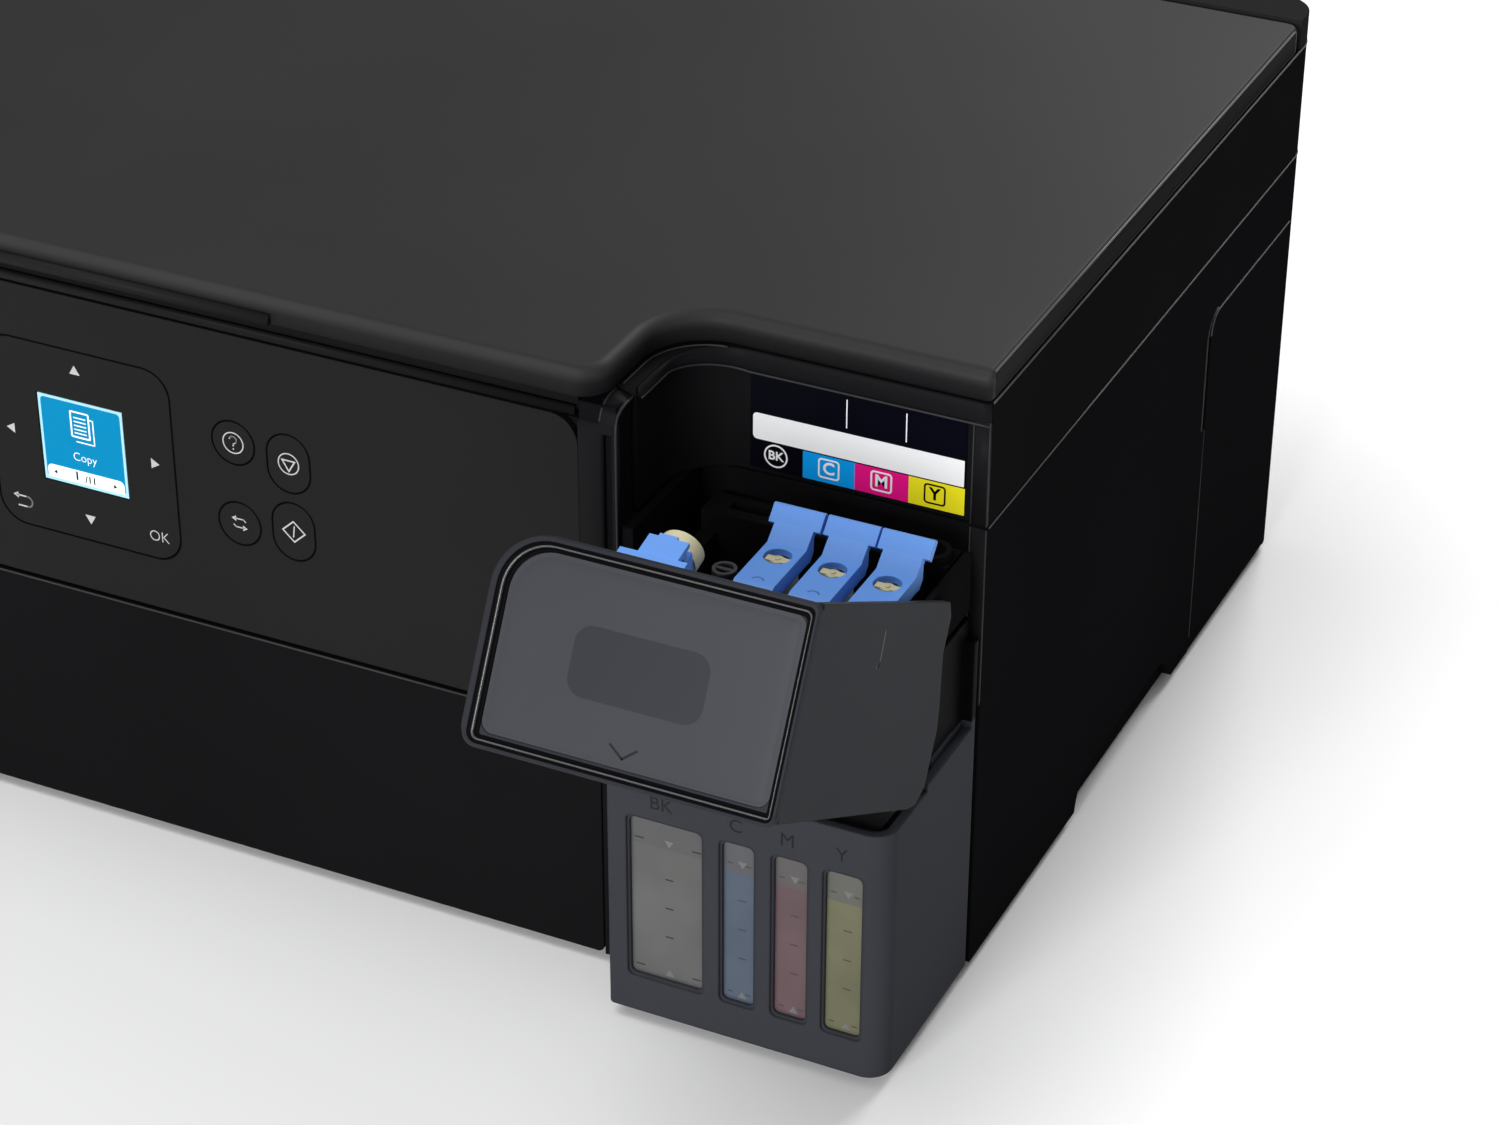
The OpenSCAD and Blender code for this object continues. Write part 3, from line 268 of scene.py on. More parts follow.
# plastic: name, colour, roughness, specular level, grain per metre, grain strength, colour drift
MAT = {
    "case": plastic("case_black", (0.0074, 0.0074, 0.0084), 0.45, 0.0, 2200.0, 0.10, edge=0.7),
    "front": plastic("front_black", (0.0068, 0.0068, 0.0075), 0.45, 0.006, 2200.0, 0.10, edge=0.7),
    # line and line_soft are paler copies of the black, painted as the highlights that rounded edges and seams
    # catch.
    "line": plastic("edge_highlight", (0.085, 0.085, 0.088), 0.45, 0.2, 1500.0, 0.02, 0.10),
    "line_soft": plastic("edge_highlight_soft", (0.034, 0.034, 0.036), 0.45, 0.1, 1500.0, 0.02, 0.10),
    # post is a paler copy of the case's black, painted as the light on the front posts, the shoulder and the
    # band under the lid.
    "post": plastic("post_lit_black", (0.0095, 0.0095, 0.0105), 0.42, 0.02, 2200.0, 0.08, edge=0.4),
    "lid": plastic("lid_black", (0.0225, 0.0225, 0.0232), 0.50, 0.06, 2600.0, 0.12, edge=0.6,
                   height=LID_SHADING),
    "scan": plastic("scanner_black", (0.0088, 0.0088, 0.0096), 0.42, 0.0, 2400.0, 0.10, edge=0.8,
                    mask=SCANNER_TOP_PAINTED_LIGHT),
    "panel": plastic("panel_black", (0.0100, 0.0100, 0.0099), 0.36, 0.07, 3000.0, 0.04, edge=0.4),
    "inner": plastic("inner_dark", (0.0080, 0.0080, 0.0088), 0.5, 0.0, 1800.0, 0.10, edge=0.5),
    "tank": plastic("tank_grey", (0.037, 0.039, 0.046), 0.42, 0.008, 2400.0, 0.10, edge=1.1,
                    mask=TANK_INSIDE),
    "shell": plastic("cover_grey", (0.027, 0.0285, 0.034), 0.42, 0.02, 2400.0, 0.10, edge=0.9),
    "ink_tank": plastic("tank_wall", (0.030, 0.030, 0.032), 0.35, 0.3, 1200.0, 0.05, edge=0.4),
    "neck": plastic("neck_grey", (0.085, 0.085, 0.088), 0.4, 0.1, 900.0, 0.04),
    "rim": plastic("cover_rim", (0.0030, 0.0030, 0.0036), 0.35, 0.01, 900.0, 0.02),
    # The cover's ridge is a paler copy of the rim's black, painted as a highlight along its top.
    "ridge": plastic("cover_ridge_highlight", (0.045, 0.045, 0.048), 0.25, 0.45, 900.0, 0.02, coat=0.3),
    "plate": plastic("cover_plate", (0.049, 0.051, 0.058), 0.38, 0.04, 2600.0, 0.10),
    "badge": plastic("cover_badge", (0.035, 0.036, 0.043), 0.3, 0.04, 1500.0, 0.03),
    "blue": plastic("cap_blue", (0.175, 0.405, 0.990), 0.38, 0.15, 1500.0, 0.05, 0.04, edge=0.3),
    "cream": plastic("seal_cream", (0.72, 0.66, 0.42), 0.5, 0.3, 900.0, 0.05, 0.05, edge=0.4),
    "rubber": plastic("rubber", (0.012, 0.012, 0.012), 0.8, 0.2, 700.0, 0.3),
    "pad": plastic("pad_white", (0.80, 0.80, 0.79), 0.55, 0.3, 500.0, 0.1, 0.02),
    "board": plastic("board_green", (0.02, 0.13, 0.06), 0.35, 0.5, 400.0, 0.1, 0.2),
    "steel": metal("steel", (0.55, 0.55, 0.57)),
    "glass": clear("scanner_glass", (0.93, 0.97, 0.96), 0.02),
    "mark": plastic("mark_pale", (0.46, 0.46, 0.46), 0.5, 0.2, 300.0, 0.02, 0.03),
    "groove": plastic("groove_dark", (0.0012, 0.0012, 0.0012), 0.6, 0.02, 300.0, 0.05, 0.2),
    "label": plastic("label_film", (0.0022, 0.0022, 0.0055), 0.35, 0.05, 300.0, 0.01, 0.1),
    "white": plastic("label_white", (0.95, 0.95, 0.955), 0.4, 0.2, 200.0, 0.01, 0.02),
    "cyan": plastic("label_cyan", (0.004, 0.35, 0.90), 0.5, 0.05, 200.0, 0.01, 0.02),
    "magenta": plastic("label_magenta", (0.86, 0.008, 0.25), 0.5, 0.05, 200.0, 0.01, 0.02),
    "yellow": plastic("label_yellow", (0.93, 0.83, 0.018), 0.5, 0.05, 200.0, 0.01, 0.02),
    "tick": plastic("tick_dark_grey", (0.05, 0.05, 0.05), 0.5, 0.2, 300.0, 0.02, 0.03),
    "tick_dark": plastic("tick_black", (0.02, 0.02, 0.02), 0.5, 0.2, 300.0, 0.02, 0.03),
    "tick_pale": plastic("tick_pale", (0.15, 0.15, 0.15), 0.5, 0.2, 300.0, 0.02, 0.03),
    "engraved": plastic("engraved", (0.013, 0.013, 0.015), 0.5, 0.1, 300.0, 0.02, 0.05),
    # cap_shade is the caps' blue darkened, as painted shade.
    "blue_painted_shade": plastic("cap_shade", (0.07, 0.16, 0.45), 0.5, 0.2, 300.0, 0.02, 0.05),
    "screen": glow("screen_blue", (0.0, 0.21, 0.42), 0.10),
    "screen_edge": glow("screen_edge", (0.34, 0.62, 0.74), 0.2),
    "screen_white": glow("screen_white", (0.84, 0.90, 0.93), 0.2),
}

PAINTED = {
    "case": ("main_case", "rear_side_cover", "rear_housing", "feeder_guard", "paper_support", "rear_cover",
             "base_plate"),
    "front": ("front_cover",),
    "lid": ("lid_panel",),
    "scan": ("scanner_case",),
    "panel": ("panel_fascia", "key_nav", "key_help", "key_swap", "key_stop", "key_start", "key_power"),
    "inner": ("tank_deck", "capping_station", "platen", "carriage_case", "output_tray", "tray_extension",
              "guide_left", "guide_right", "panel_back", "power_supply", "ac_inlet", "cis_carriage",
              "timing_belt", "carriage_motor"),
    "rubber": ("feet", "feed_roller", "exit_roller"),
    "steel": ("case_screws", "engine_frame", "guide_shaft", "usb_port", "scanner_rod", "print_head"),
    "tank": ("tank_housing",),
    "shell": ("cover_shell",),
    "ink_tank": ("tank_black", "tank_cyan", "tank_magenta", "tank_yellow"),
    "plate": ("cover_panel",),
    "blue": ("cap_black", "cap_cyan", "cap_magenta", "cap_yellow"),
    "cream": ("seal_black", "seal_cyan", "seal_magenta", "seal_yellow"),
    "board": ("main_board",),
    "glass": ("scanner_glass",),
    "label": ("ink_label",),
    "pad": ("lid_pad",),
    "screen_edge": ("lcd_module",),
}
for key, names in PAINTED.items():
    for name in names:
        slots = nodes[name].data.materials
        slots.clear()
        slots.append(MAT[key])

# ---------- mesh helpers ----------

# The tank cover's pieces are drawn on the shut cover and turned up into its stored, open place.
COVER_HINGE = Vector((0, -127.0 * MM, 99.25 * MM))
COVER_OPEN = math.radians(61.7)
COVER_TURN = (Matrix.Translation(COVER_HINGE) @ Matrix.Rotation(COVER_OPEN, 4, "X")
              @ Matrix.Translation(-COVER_HINGE))
# No line of light runs this way, so it can fix how their round sections are turned.
SLANT = Vector((0.31, 0.42, 0.85))
LINE_R = 0.3
# Heights of printing over its face.
THIN = 0.02
PRINT = 0.03


def mounted(name, mesh, look, body):
    """The mesh as an object that rides on a body, in the material of MAT that look names."""
    mesh.materials.clear()
    mesh.materials.append(MAT[look])
    obj = bpy.data.objects.new(name, mesh)
    bpy.context.collection.objects.link(obj)
    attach(obj, body)
    return obj


def piece(name, verts, faces, look, body, place=None, smooth=False):
    """A mesh drawn in mm and moved by the matrix place."""
    mesh = bpy.data.meshes.new(name)
    mesh.from_pydata([tuple(c * MM for c in v) for v in verts], [], faces)
    if place is not None:
        mesh.transform(place)
    work = bmesh.new()
    work.from_mesh(mesh)
    bmesh.ops.recalc_face_normals(work, faces=work.faces)
    work.to_mesh(mesh)
    work.free()
    for poly in mesh.polygons:
        poly.use_smooth = smooth
    return mounted(name, mesh, look, body)


def on_face(y):
    """Artwork on a face that looks towards -Y: drawn as x and z, raised towards the viewer."""
    return lambda a, b, h: (a, y - h, b)


def on_top(z):
    """Artwork on a face that looks up: drawn as x and y."""
    return lambda a, b, h: (a, b, z + h)


def on_side(x, sign=1):
    """Artwork on a face that looks to the right, or to the left with sign -1: drawn as y and z."""
    return lambda a, b, h: (sign * (x + h), a, b)


def arc(cx, cz, r, a0, a1, steps=14):
    """Points from the angle a0 to the angle a1, in degrees."""
    angles = [math.radians(a0 + (a1 - a0) * i / steps) for i in range(steps + 1)]
    return [(cx + r * math.cos(a), cz + r * math.sin(a)) for a in angles]


def ring_of(cx, cz, r, steps=40):
    """Points of a full circle."""
    return arc(cx, cz, r, 0, 360, steps)[:-1]


def outline(x0, x1, z0, z1, radii, steps=8):
    """Rounded rectangle; radii at the low-left, low-right, high-right and high-left corners."""
    pts = []
    corners = ((x0, z0, 1, 1, 180), (x1, z0, -1, 1, 270), (x1, z1, -1, -1, 0), (x0, z1, 1, -1, 90))
    for (x, z, sx, sz, start), r in zip(corners, radii):
        pts += arc(x + sx * r, z + sz * r, r, start, start + 90, steps)
    return pts


def circle_frame(cx, cz, r, width):
    """The two outlines of a round ring."""
    return ring_of(cx, cz, r), ring_of(cx, cz, r - width)


def triangle(cx, cz, width, facing):
    """A solid arrow head that points up, down, left or right."""
    dx, dz = {"up": (0, 1), "down": (0, -1), "left": (-1, 0), "right": (1, 0)}[facing]
    half = width / 2
    reach = width * 0.42
    return [(cx + reach * dx, cz + reach * dz),
            (cx - reach * dx - half * dz, cz - reach * dz + half * dx),
            (cx - reach * dx + half * dz, cz - reach * dz - half * dx)]


def strokes(lines, width):
    """Each line of points as a row of thin bars that overlap a little at the corners."""
    bars = []
    for line in lines:
        for (ax, az), (bx, bz) in zip(line, line[1:]):
            length = math.hypot(bx - ax, bz - az)
            ux, uz = (bx - ax) / length, (bz - az) / length
            px, pz = -uz * width / 2, ux * width / 2
            ex, ez = ux * width * 0.4, uz * width * 0.4
            bars.append([(ax - ex + px, az - ez + pz), (ax - ex - px, az - ez - pz),
                         (bx + ex - px, bz + ez - pz), (bx + ex + px, bz + ez + pz)])
    return bars


def decals(name, shapes, look, body, plane, height, place=None):
    """Several thin raised outlines joined as one piece."""
    verts, faces = [], []
    for pts in shapes:
        n = len(pts)
        first = len(verts)
        verts += [plane(a, b, h) for h in (0.0, height) for a, b in pts]
        faces.append(tuple(first + n + i for i in range(n)))
        faces.append(tuple(first + n - 1 - i for i in range(n)))
        faces += [(first + i, first + (i + 1) % n, first + n + (i + 1) % n, first + n + i) for i in range(n)]
    piece(name, verts, faces, look, body, place)


def frames(name, pairs, look, body, plane, height):
    """Rings between an outer and an inner outline with the same number of points."""
    verts, faces = [], []
    for outer, inner in pairs:
        n = len(outer)
        first = len(verts)
        verts += [plane(a, b, h) for h in (0.0, height) for a, b in outer + inner]
        for i in range(n):
            j = (i + 1) % n
            for low, high in ((2 * n, 3 * n), (0, 2 * n), (n, 3 * n)):
                faces.append((first + low + i, first + low + j, first + high + j, first + high + i))
    piece(name, verts, faces, look, body)


def lettering(name, text, x, z, size, look, body, y, height, bold=0.0, stretch=1.0):
    """Generic letters standing on a face that looks towards -Y, as a mesh."""
    curve = bpy.data.curves.new(name, "FONT")
    curve.body = text
    curve.size = size * MM
    curve.align_x = "CENTER"
    curve.align_y = "CENTER"
    curve.extrude = height * MM
    curve.offset = bold * MM
    curve.resolution_u = 4
    source = bpy.data.objects.new(name + "_source", curve)
    bpy.context.collection.objects.link(source)
    bpy.context.view_layer.update()
    mesh = bpy.data.meshes.new_from_object(source.evaluated_get(bpy.context.evaluated_depsgraph_get()))
    bpy.data.objects.remove(source)
    bpy.data.curves.remove(curve)
    moved = Matrix.Translation((x * MM, y * MM, z * MM))
    upright = Matrix.Rotation(math.radians(90), 4, "X")
    mesh.transform(moved @ upright @ Matrix.Diagonal((stretch, 1, 1, 1)))
    mounted(name, mesh, look, body)


def skin(name, rows, look, body, place=None, smooth=True, first_closed=True, last_closed=True):
    """A skin through successive closed loops of the same number of points."""
    n = len(rows[0])
    verts = [v for row in rows for v in row]
    faces = [(k * n + i, k * n + (i + 1) % n, (k + 1) * n + (i + 1) % n, (k + 1) * n + i)
             for k in range(len(rows) - 1) for i in range(n)]
    if last_closed:
        faces.append(tuple((len(rows) - 1) * n + i for i in range(n)))
    if first_closed:
        faces.append(tuple(n - 1 - i for i in range(n)))
    return piece(name, verts, faces, look, body, place, smooth)


def bar_x(x0, x1, section):
    """The rows of a bar along X, from a section drawn as y and z."""
    return [[(x, y, z) for y, z in section] for x in (x0, x1)]


def bar_z(z0, z1, section):
    """The rows of an upright bar, from a section drawn as x and y."""
    return [[(x, y, z) for x, y in section] for z in (z0, z1)]


def thread(name, points, r, look, body):
    """A fine rounded line along a path, painted in a paler colour as the highlight that an edge catches."""
    rows = []
    for i, at in enumerate(points):
        before = Vector(points[max(i - 1, 0)])
        after = Vector(points[min(i + 1, len(points) - 1)])
        along = (after - before).normalized()
        across = along.cross(SLANT).normalized()
        third = across.cross(along)
        rows.append([tuple(Vector(at) + across * a + third * b) for a, b in ring_of(0.0, 0.0, r, 8)])
    skin(name, rows, look, body)


# ---------- control panel ----------

PANEL_Y = -120.0
# A key's groove reaches this far outside its outline, and this far inside.
GROOVE_OUT = 0.3
GROOVE_IN = 0.05
ROUND_KEY = 6.5
SIGN_RING = 3.25
RING_WIDTH = 0.34
SIGN_WIDTH = 0.36
WIDE_SIGN = 0.45
on_panel = on_face(PANEL_Y - 0.01)


def key_groove(x0, x1, z0, z1, r):
    """The two outlines of the groove round a key."""
    return tuple(outline(x0 - gap, x1 + gap, z0 - gap, z1 + gap, [r + gap] * 4, 12)
                 for gap in (GROOVE_OUT, -GROOVE_IN))


def key_print(draw, name, shapes, button):
    """Pale printing on a key, drawn by decals or by frames."""
    draw(name, shapes, "mark", button, on_panel, PRINT)


frames("panel_grooves", [
    key_groove(-87.7, -29.5, 92.5, 151.0, 8.0),
    key_groove(-16.9, -3.9, 128.6, 141.6, ROUND_KEY),
    key_groove(-16.6, -3.6, 104.0, 117.0, ROUND_KEY),
    key_groove(-0.1, 12.9, 124.15, 141.65, ROUND_KEY),
    key_groove(0.2, 13.2, 103.55, 121.05, ROUND_KEY),
    key_groove(-158.5, -145.5, 133.5, 146.5, ROUND_KEY),
], "groove", "control_panel", on_panel, THIN)

key_print(decals, "nav_arrows", [
    triangle(-59.1, 145.3, 3.3, "up"),
    triangle(-58.4, 99.1, 3.3, "down"),
    triangle(-81.9, 122.4, 3.1, "left"),
    triangle(-35.6, 122.4, 3.1, "right"),
], "button_nav")
back_line = [(-82.2, 101.2), (-79.0, 101.2)] + arc(-79.0, 99.6, 1.6, 90, -90, 10) + [(-81.9, 98.0)]
key_print(decals, "nav_back_mark", [triangle(-82.6, 101.2, 2.0, "left")] + strokes([back_line], WIDE_SIGN),
          "button_nav")
lettering("nav_ok_letters", "OK", -36.3, 99.4, 4.7, "mark", "button_nav", PANEL_Y - THIN, THIN,
          bold=-0.07, stretch=0.95)

key_print(frames, "help_circle", [circle_frame(-10.4, 135.1, SIGN_RING, RING_WIDTH)], "button_help")
question = arc(-10.4, 136.0, 1.05, 165, -45, 10) + [(-10.4, 134.7), (-10.4, 134.2)]
question_dot = [(-10.4, 133.35), (-10.4, 133.2)]
key_print(decals, "help_mark", strokes([question, question_dot], SIGN_WIDTH), "button_help")
swap_heads = [triangle(-11.9, 111.9, 1.7, "left"), triangle(-8.5, 109.3, 1.7, "right")]
swap_lines = [[(-11.4, 111.9), (-8.9, 111.9), (-8.3, 111.3)],
              [(-12.0, 109.9), (-11.4, 109.3), (-8.9, 109.3)]]
key_print(decals, "swap_mark", swap_heads + strokes(swap_lines, RING_WIDTH), "button_swap")
key_print(frames, "stop_circle", [circle_frame(6.4, 132.9, SIGN_RING, RING_WIDTH)], "button_stop")
stop_triangle = ([(4.1, 134.1), (6.4, 130.3), (8.7, 134.1)], [(4.85, 133.68), (6.4, 131.1), (7.95, 133.68)])
key_print(frames, "stop_triangle", [stop_triangle], "button_stop")
start_diamond = ([(3.0, 112.3), (6.7, 108.9), (10.4, 112.3), (6.7, 115.7)],
                 [(3.6, 112.3), (6.7, 109.45), (9.8, 112.3), (6.7, 115.15)])
key_print(frames, "start_diamond", [start_diamond], "button_start")
key_print(decals, "start_bar", strokes([[(6.5, 110.7), (6.9, 113.9)]], SIGN_WIDTH), "button_start")
power_lines = [arc(-152, 140, 2.4, 125, 415, 22), [(-152, 140.4), (-152, 143.2)]]
key_print(decals, "power_mark", strokes(power_lines, WIDE_SIGN), "button_power")

# ---------- display ----------

SCREEN_Y = -119.8
LAYER_STEP = 0.01


def screen_layer(n):
    """The y of the picture's layer n; the higher layers lie nearer to the viewer."""
    return SCREEN_Y - LAYER_STEP * n


def screen_print(draw, name, shapes, look, layer, height):
    """Part of the display's picture, drawn by decals or by frames."""
    draw(name, shapes, look, "control_panel", on_face(screen_layer(layer)), height)


def screen_text(name, text, x, z, size, look, layer, bold, stretch=1.0):
    """Letters of the display's picture."""
    lettering(name, text, x, z, size, look, "control_panel", screen_layer(layer), THIN, bold, stretch)


screen_field = outline(-71.3, -46.1, 110.2, 134.7, [0.4, 0.4, 1.2, 1.2])
screen_bar = outline(-71.0, -46.4, 109.9, 113.9, [0.2, 0.2, 1.6, 1.6])
first_sheet = (outline(-62.2, -56.0, 124.2, 132.4, [0.5] * 4, 4),
               outline(-61.7, -56.5, 124.7, 131.9, [0.25] * 4, 4))
text_lines = [[(-60.9, z), (-57.3, z)] for z in (130.4, 129.2, 128.0, 126.8, 125.7)]
second_sheet = [(-60.6, 123.0), (-54.9, 123.0), (-54.9, 130.6), (-55.9, 130.6)]
pointers = [triangle(-68.6, 111.7, 1.3, "left"), triangle(-49.3, 111.7, 1.3, "right")]

screen_print(decals, "screen_field", [screen_field], "screen", 1, THIN)
screen_print(decals, "screen_bar", [screen_bar], "screen_white", 2, PRINT)
screen_print(frames, "screen_icon", [first_sheet], "screen_white", 3, PRINT)
icon_lines = strokes(text_lines + [second_sheet], SIGN_WIDTH)
screen_print(decals, "screen_icon_lines", icon_lines, "screen_white", 3, PRINT)
screen_text("screen_word", "Copy", -58.5, 118.1, 3.7, "screen_white", 4, -0.05, 0.95)
screen_print(decals, "screen_pointers", pointers, "groove", 6, THIN)
screen_text("screen_count", "1", -61.6, 112.0, 3.6, "groove", 7, 0.1)
screen_text("screen_total", "/11", -57.2, 111.6, 2.9, "groove", 7, 0.06)

# ---------- document cover ----------

LID_LEFT, LID_RIGHT, LID_FRONT, LID_REAR = -187.5, 187.5, -124.0, 155.9
LID_TOP = 184.0
# The scoop over the tanks: the x and y of its centre and its radius. The front edge ends at its left.
LID_SCOOP = (117.5, -99.0, 17.0)
LID_SCOOP_LEFT = 100.5
# Above this height the lid draws in less at its right edge and its other straight edges than at the scoop.
LID_EDGE_Z = 180.0
RIGHT_SHARE = 0.35
EDGE_SHARE = 0.5
LID_CORNER_R = 8.0
# A corner that shrinks as the outline moves in keeps at least this radius.
LEAST_R = 0.05
LID_HINGE = (159.9, 182.6)


def oval_corner(x, y, rx, ry, start, steps):
    """A quarter of an oval round (x, y)."""
    return [(x + rx * a, y + ry * b) for a, b in arc(0.0, 0.0, 1.0, start, start + 90, steps)]


def lid_loop(u, z):
    """The lid's outline at the height z, moved in by u: rounded corners and the scoop over the tanks."""
    cx, cy, r = LID_SCOOP
    edge = u * EDGE_SHARE if z > LID_EDGE_Z else u
    right = u * RIGHT_SHARE if z > LID_EDGE_Z else u
    front_r = LID_CORNER_R
    tip_r = max(1.6, u + LEAST_R)
    rear_r = max(4.0, u + LEAST_R)
    pts = oval_corner(LID_LEFT + front_r, LID_FRONT + front_r, front_r - edge, front_r - edge, 180, 10)
    pts += oval_corner(LID_SCOOP_LEFT - front_r, LID_FRONT + front_r, front_r - u, front_r - edge, 270, 12)
    pts += arc(cx, cy, r + u, 180, 90, 20)
    pts += oval_corner(LID_RIGHT - tip_r, cy + r + tip_r, tip_r - right, tip_r - u, 270, 5)
    pts += oval_corner(LID_RIGHT - rear_r, LID_REAR - rear_r, rear_r - right, rear_r - edge, 0, 8)
    pts += oval_corner(LID_LEFT + rear_r, LID_REAR - rear_r, rear_r - edge, rear_r - edge, 90, 8)
    return [(a, b, z) for a, b in pts]


lid_profile = [(2.2, 182.4), (2.2, 176.2), (2.0, 175.8), (0.7, 175.8), (0.2, 176.0), (0.0, 176.5)]
lid_profile += [(0.0, 180.9)] + arc(3.1, 180.9, 3.1, 170, 90, 8) + [(3.5, LID_TOP), (4.2, LID_TOP)]
lid_skin = skin("lid_skin", [lid_loop(u, z) for u, z in lid_profile], "lid", "document_cover")
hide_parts("lid_panel")
lip = [(-123.6, 176.2), (-125.4, 176.2), (-125.8, 176.6), (-125.8, 178.0), (-125.4, 178.6), (-124.6, 179.0),
       (-123.6, 179.1)]
skin("lid_lip", bar_x(-120.0, 6.4, lip), "lid", "document_cover")
for side, x in (("left", -110.0), ("right", 110.0)):
    knuckle = [(154.0, 180.8)] + arc(*LID_HINGE, 1.9, -90, 45, 9) + [(154.0, LID_TOP)]
    skin("lid_knuckle_" + side, bar_x(x - 12.0, x + 12.0, knuckle), "lid", "document_cover")
    skin("lid_pin_" + side, bar_x(x - 15.0, x + 15.0, ring_of(*LID_HINGE, 1.5, 24)), "lid", "document_cover")

# ---------- the scanner's band and the moulding round the recess ----------

# The band lies under the lid and follows the recess. Its section is drawn as the distance out of the wall
# and the height. A row of its path is x, y, the direction out of the wall and the share of its full depth.
BAND_TOP = 174.9
# The recess's round corner: the x and y of its centre and its radius.
RECESS_TURN = (121.5, -97.2, 17.0)
RECESS_BACK = -80.2
TURN_STEPS = 14
BAND_SECTION = [(-0.4, 174.9), (0.9, 174.9), (1.25, 174.5), (1.3, 170.2), (1.15, 169.3), (0.7, 168.7),
                (0.1, 168.4), (-0.4, 168.4)]
turn_x, turn_y, turn_r = RECESS_TURN
band_path = [(turn_x - turn_r, -110.8, 1, 0, 0.45), (turn_x - turn_r, turn_y, 1, 0, 0.47)]
for i, (wx, wy) in enumerate(arc(0.0, 0.0, 1.0, 174, 90, TURN_STEPS)):
    band_path.append((turn_x + turn_r * wx, turn_y + turn_r * wy, -wx, -wy, 0.47 + 0.53 * i / TURN_STEPS))
band_path += [(x, RECESS_BACK, 0, -1, 1.0) for x in (150.0, 184.0, 187.3)]
skin("rim_band", [[(x + nx * d, y + ny * d, BAND_TOP - (BAND_TOP - z) * share) for d, z in BAND_SECTION]
                  for x, y, nx, ny, share in band_path], "post", "scanner_unit")

# Pale threads painted as highlights: along the front flap's top edge, the band's lower edge and under the
# edge of the lid's scoop.
flap_top = [(x, PANEL_Y - 0.05, 75.0) for x in (-170.0, -80.0, 0.0, 95.0)]
thread("line_front_cover", flap_top, LINE_R, "line_soft", "front_flap")
band_foot = [(x + nx * 1.2, y + ny * 1.2, BAND_TOP - 6.2 * share) for x, y, nx, ny, share in band_path]
thread("band_line", band_foot, LINE_R, "line_soft", "scanner_unit")
scoop_x, scoop_y, scoop_r = LID_SCOOP
scoop_edge = [(LID_SCOOP_LEFT + 0.2, -111.0)] + arc(scoop_x, scoop_y, scoop_r - 0.2, 180, 96)
scoop_line = [(x, y, BAND_TOP + 0.05) for x, y in scoop_edge]
thread("scoop_highlight_line", scoop_line, LINE_R, "line_soft", "scanner_unit")

# Rounded shoulder between the recess and the front: y and z of its outer and of its inner edge.
SHOULDER_OUT_X = 99.3
SHOULDER_IN_X = 103.8
SHOULDER_LINE_R = 0.32
WEB_THICKNESS = 0.9
SHOULDER = [((-112.2, 174.2), (-112.2, 172.7)), ((-115.5, 174.0), (-116.0, 172.6)),
            ((-118.2, 173.3), (-118.6, 172.1)), ((-120.4, 171.6), (-120.6, 171.0)),
            ((-121.6, 169.2), (-121.7, 169.0)), ((-121.9, 166.0), (-121.9, 166.0))]
web = []
for (yo, zo), (yi, zi) in SHOULDER:
    web.append([(SHOULDER_OUT_X, yo, zo), (SHOULDER_IN_X, yi, zi),
                (SHOULDER_IN_X, yi + WEB_THICKNESS, zi - WEB_THICKNESS),
                (SHOULDER_OUT_X, yo + WEB_THICKNESS, zo - WEB_THICKNESS)])
skin("shoulder_web", web, "post", "base", smooth=False)
# Pale threads painted as the highlights on the shoulder's outer and inner edges, the inner one running down
# the post.
outer_line = [(SHOULDER_OUT_X, y, z) for (y, z), _ in SHOULDER[:-1]]
thread("shoulder_line_out", outer_line, SHOULDER_LINE_R, "line_soft", "base")
inner_edge = [inner for _, inner in SHOULDER] + [(-121.9, z) for z in (150.0, 120.0, 87.0)]
inner_line = [(SHOULDER_IN_X + 0.1, y, z) for y, z in inner_edge]
thread("shoulder_line_in", inner_line, SHOULDER_LINE_R, "line_soft", "base")

# The front post's face is cut back towards its top, where it runs into the shoulder.
FACE_BACK = -119.6
FACE_SECTION = [(92.7, FACE_BACK), (92.7, -120.9), (93.2, -121.4), (99.2, -121.7), (99.9, -121.4),
                (100.1, -120.8), (100.1, FACE_BACK)]
CORNER_SECTION = [(102.4, -119.8), (102.4, -121.4), (102.9, -121.9), (103.6, -121.9), (103.9, -121.5),
                  (103.9, -119.8)]
skin("post_face", [[(x, max(y, FACE_BACK - depth), z) for x, y in FACE_SECTION]
                   for z, depth in ((87.0, 3.0), (163.0, 3.0), (165.5, 1.9), (167.0, 1.2), (168.0, 0.5))],
     "post", "base")
skin("post_corner", bar_z(87.0, 168.5, CORNER_SECTION), "post", "base")

# The post at the right end of the recess: its upper half is the scanner's, its lower half the case's.
POST_SECTION = [(182.9, -80.0), (182.9, -80.8), (183.1, -81.25), (183.6, -81.5), (187.0, -81.5),
                (187.35, -81.3), (187.45, -80.9), (187.45, -80.0)]
skin("rim_post", bar_z(139.9, 169.6, POST_SECTION), "post", "scanner_unit")
skin("case_post", bar_z(86.0, 138.9, POST_SECTION), "post", "base")

# ---------- painted highlights along the edges of the right side ------

# The side's edges, and the face of the side cover.
EDGE_X = 187.42
SIDE_X = EDGE_X + 0.05
POST_LINE_R = 0.22
SCANNER_SEAM = 174.8
CASE_SEAM = 138.95


def round_the_back(z):
    """Points along the side's edge and round the rear corner."""
    along = [(EDGE_X, y, z) for y in (-80.0, 0.0, 80.0, 140.0)]
    return along + [(a, b, z) for a, b in arc(EDGE_X - 12.0, 161.5, 12.0, 0, 75, 9)]


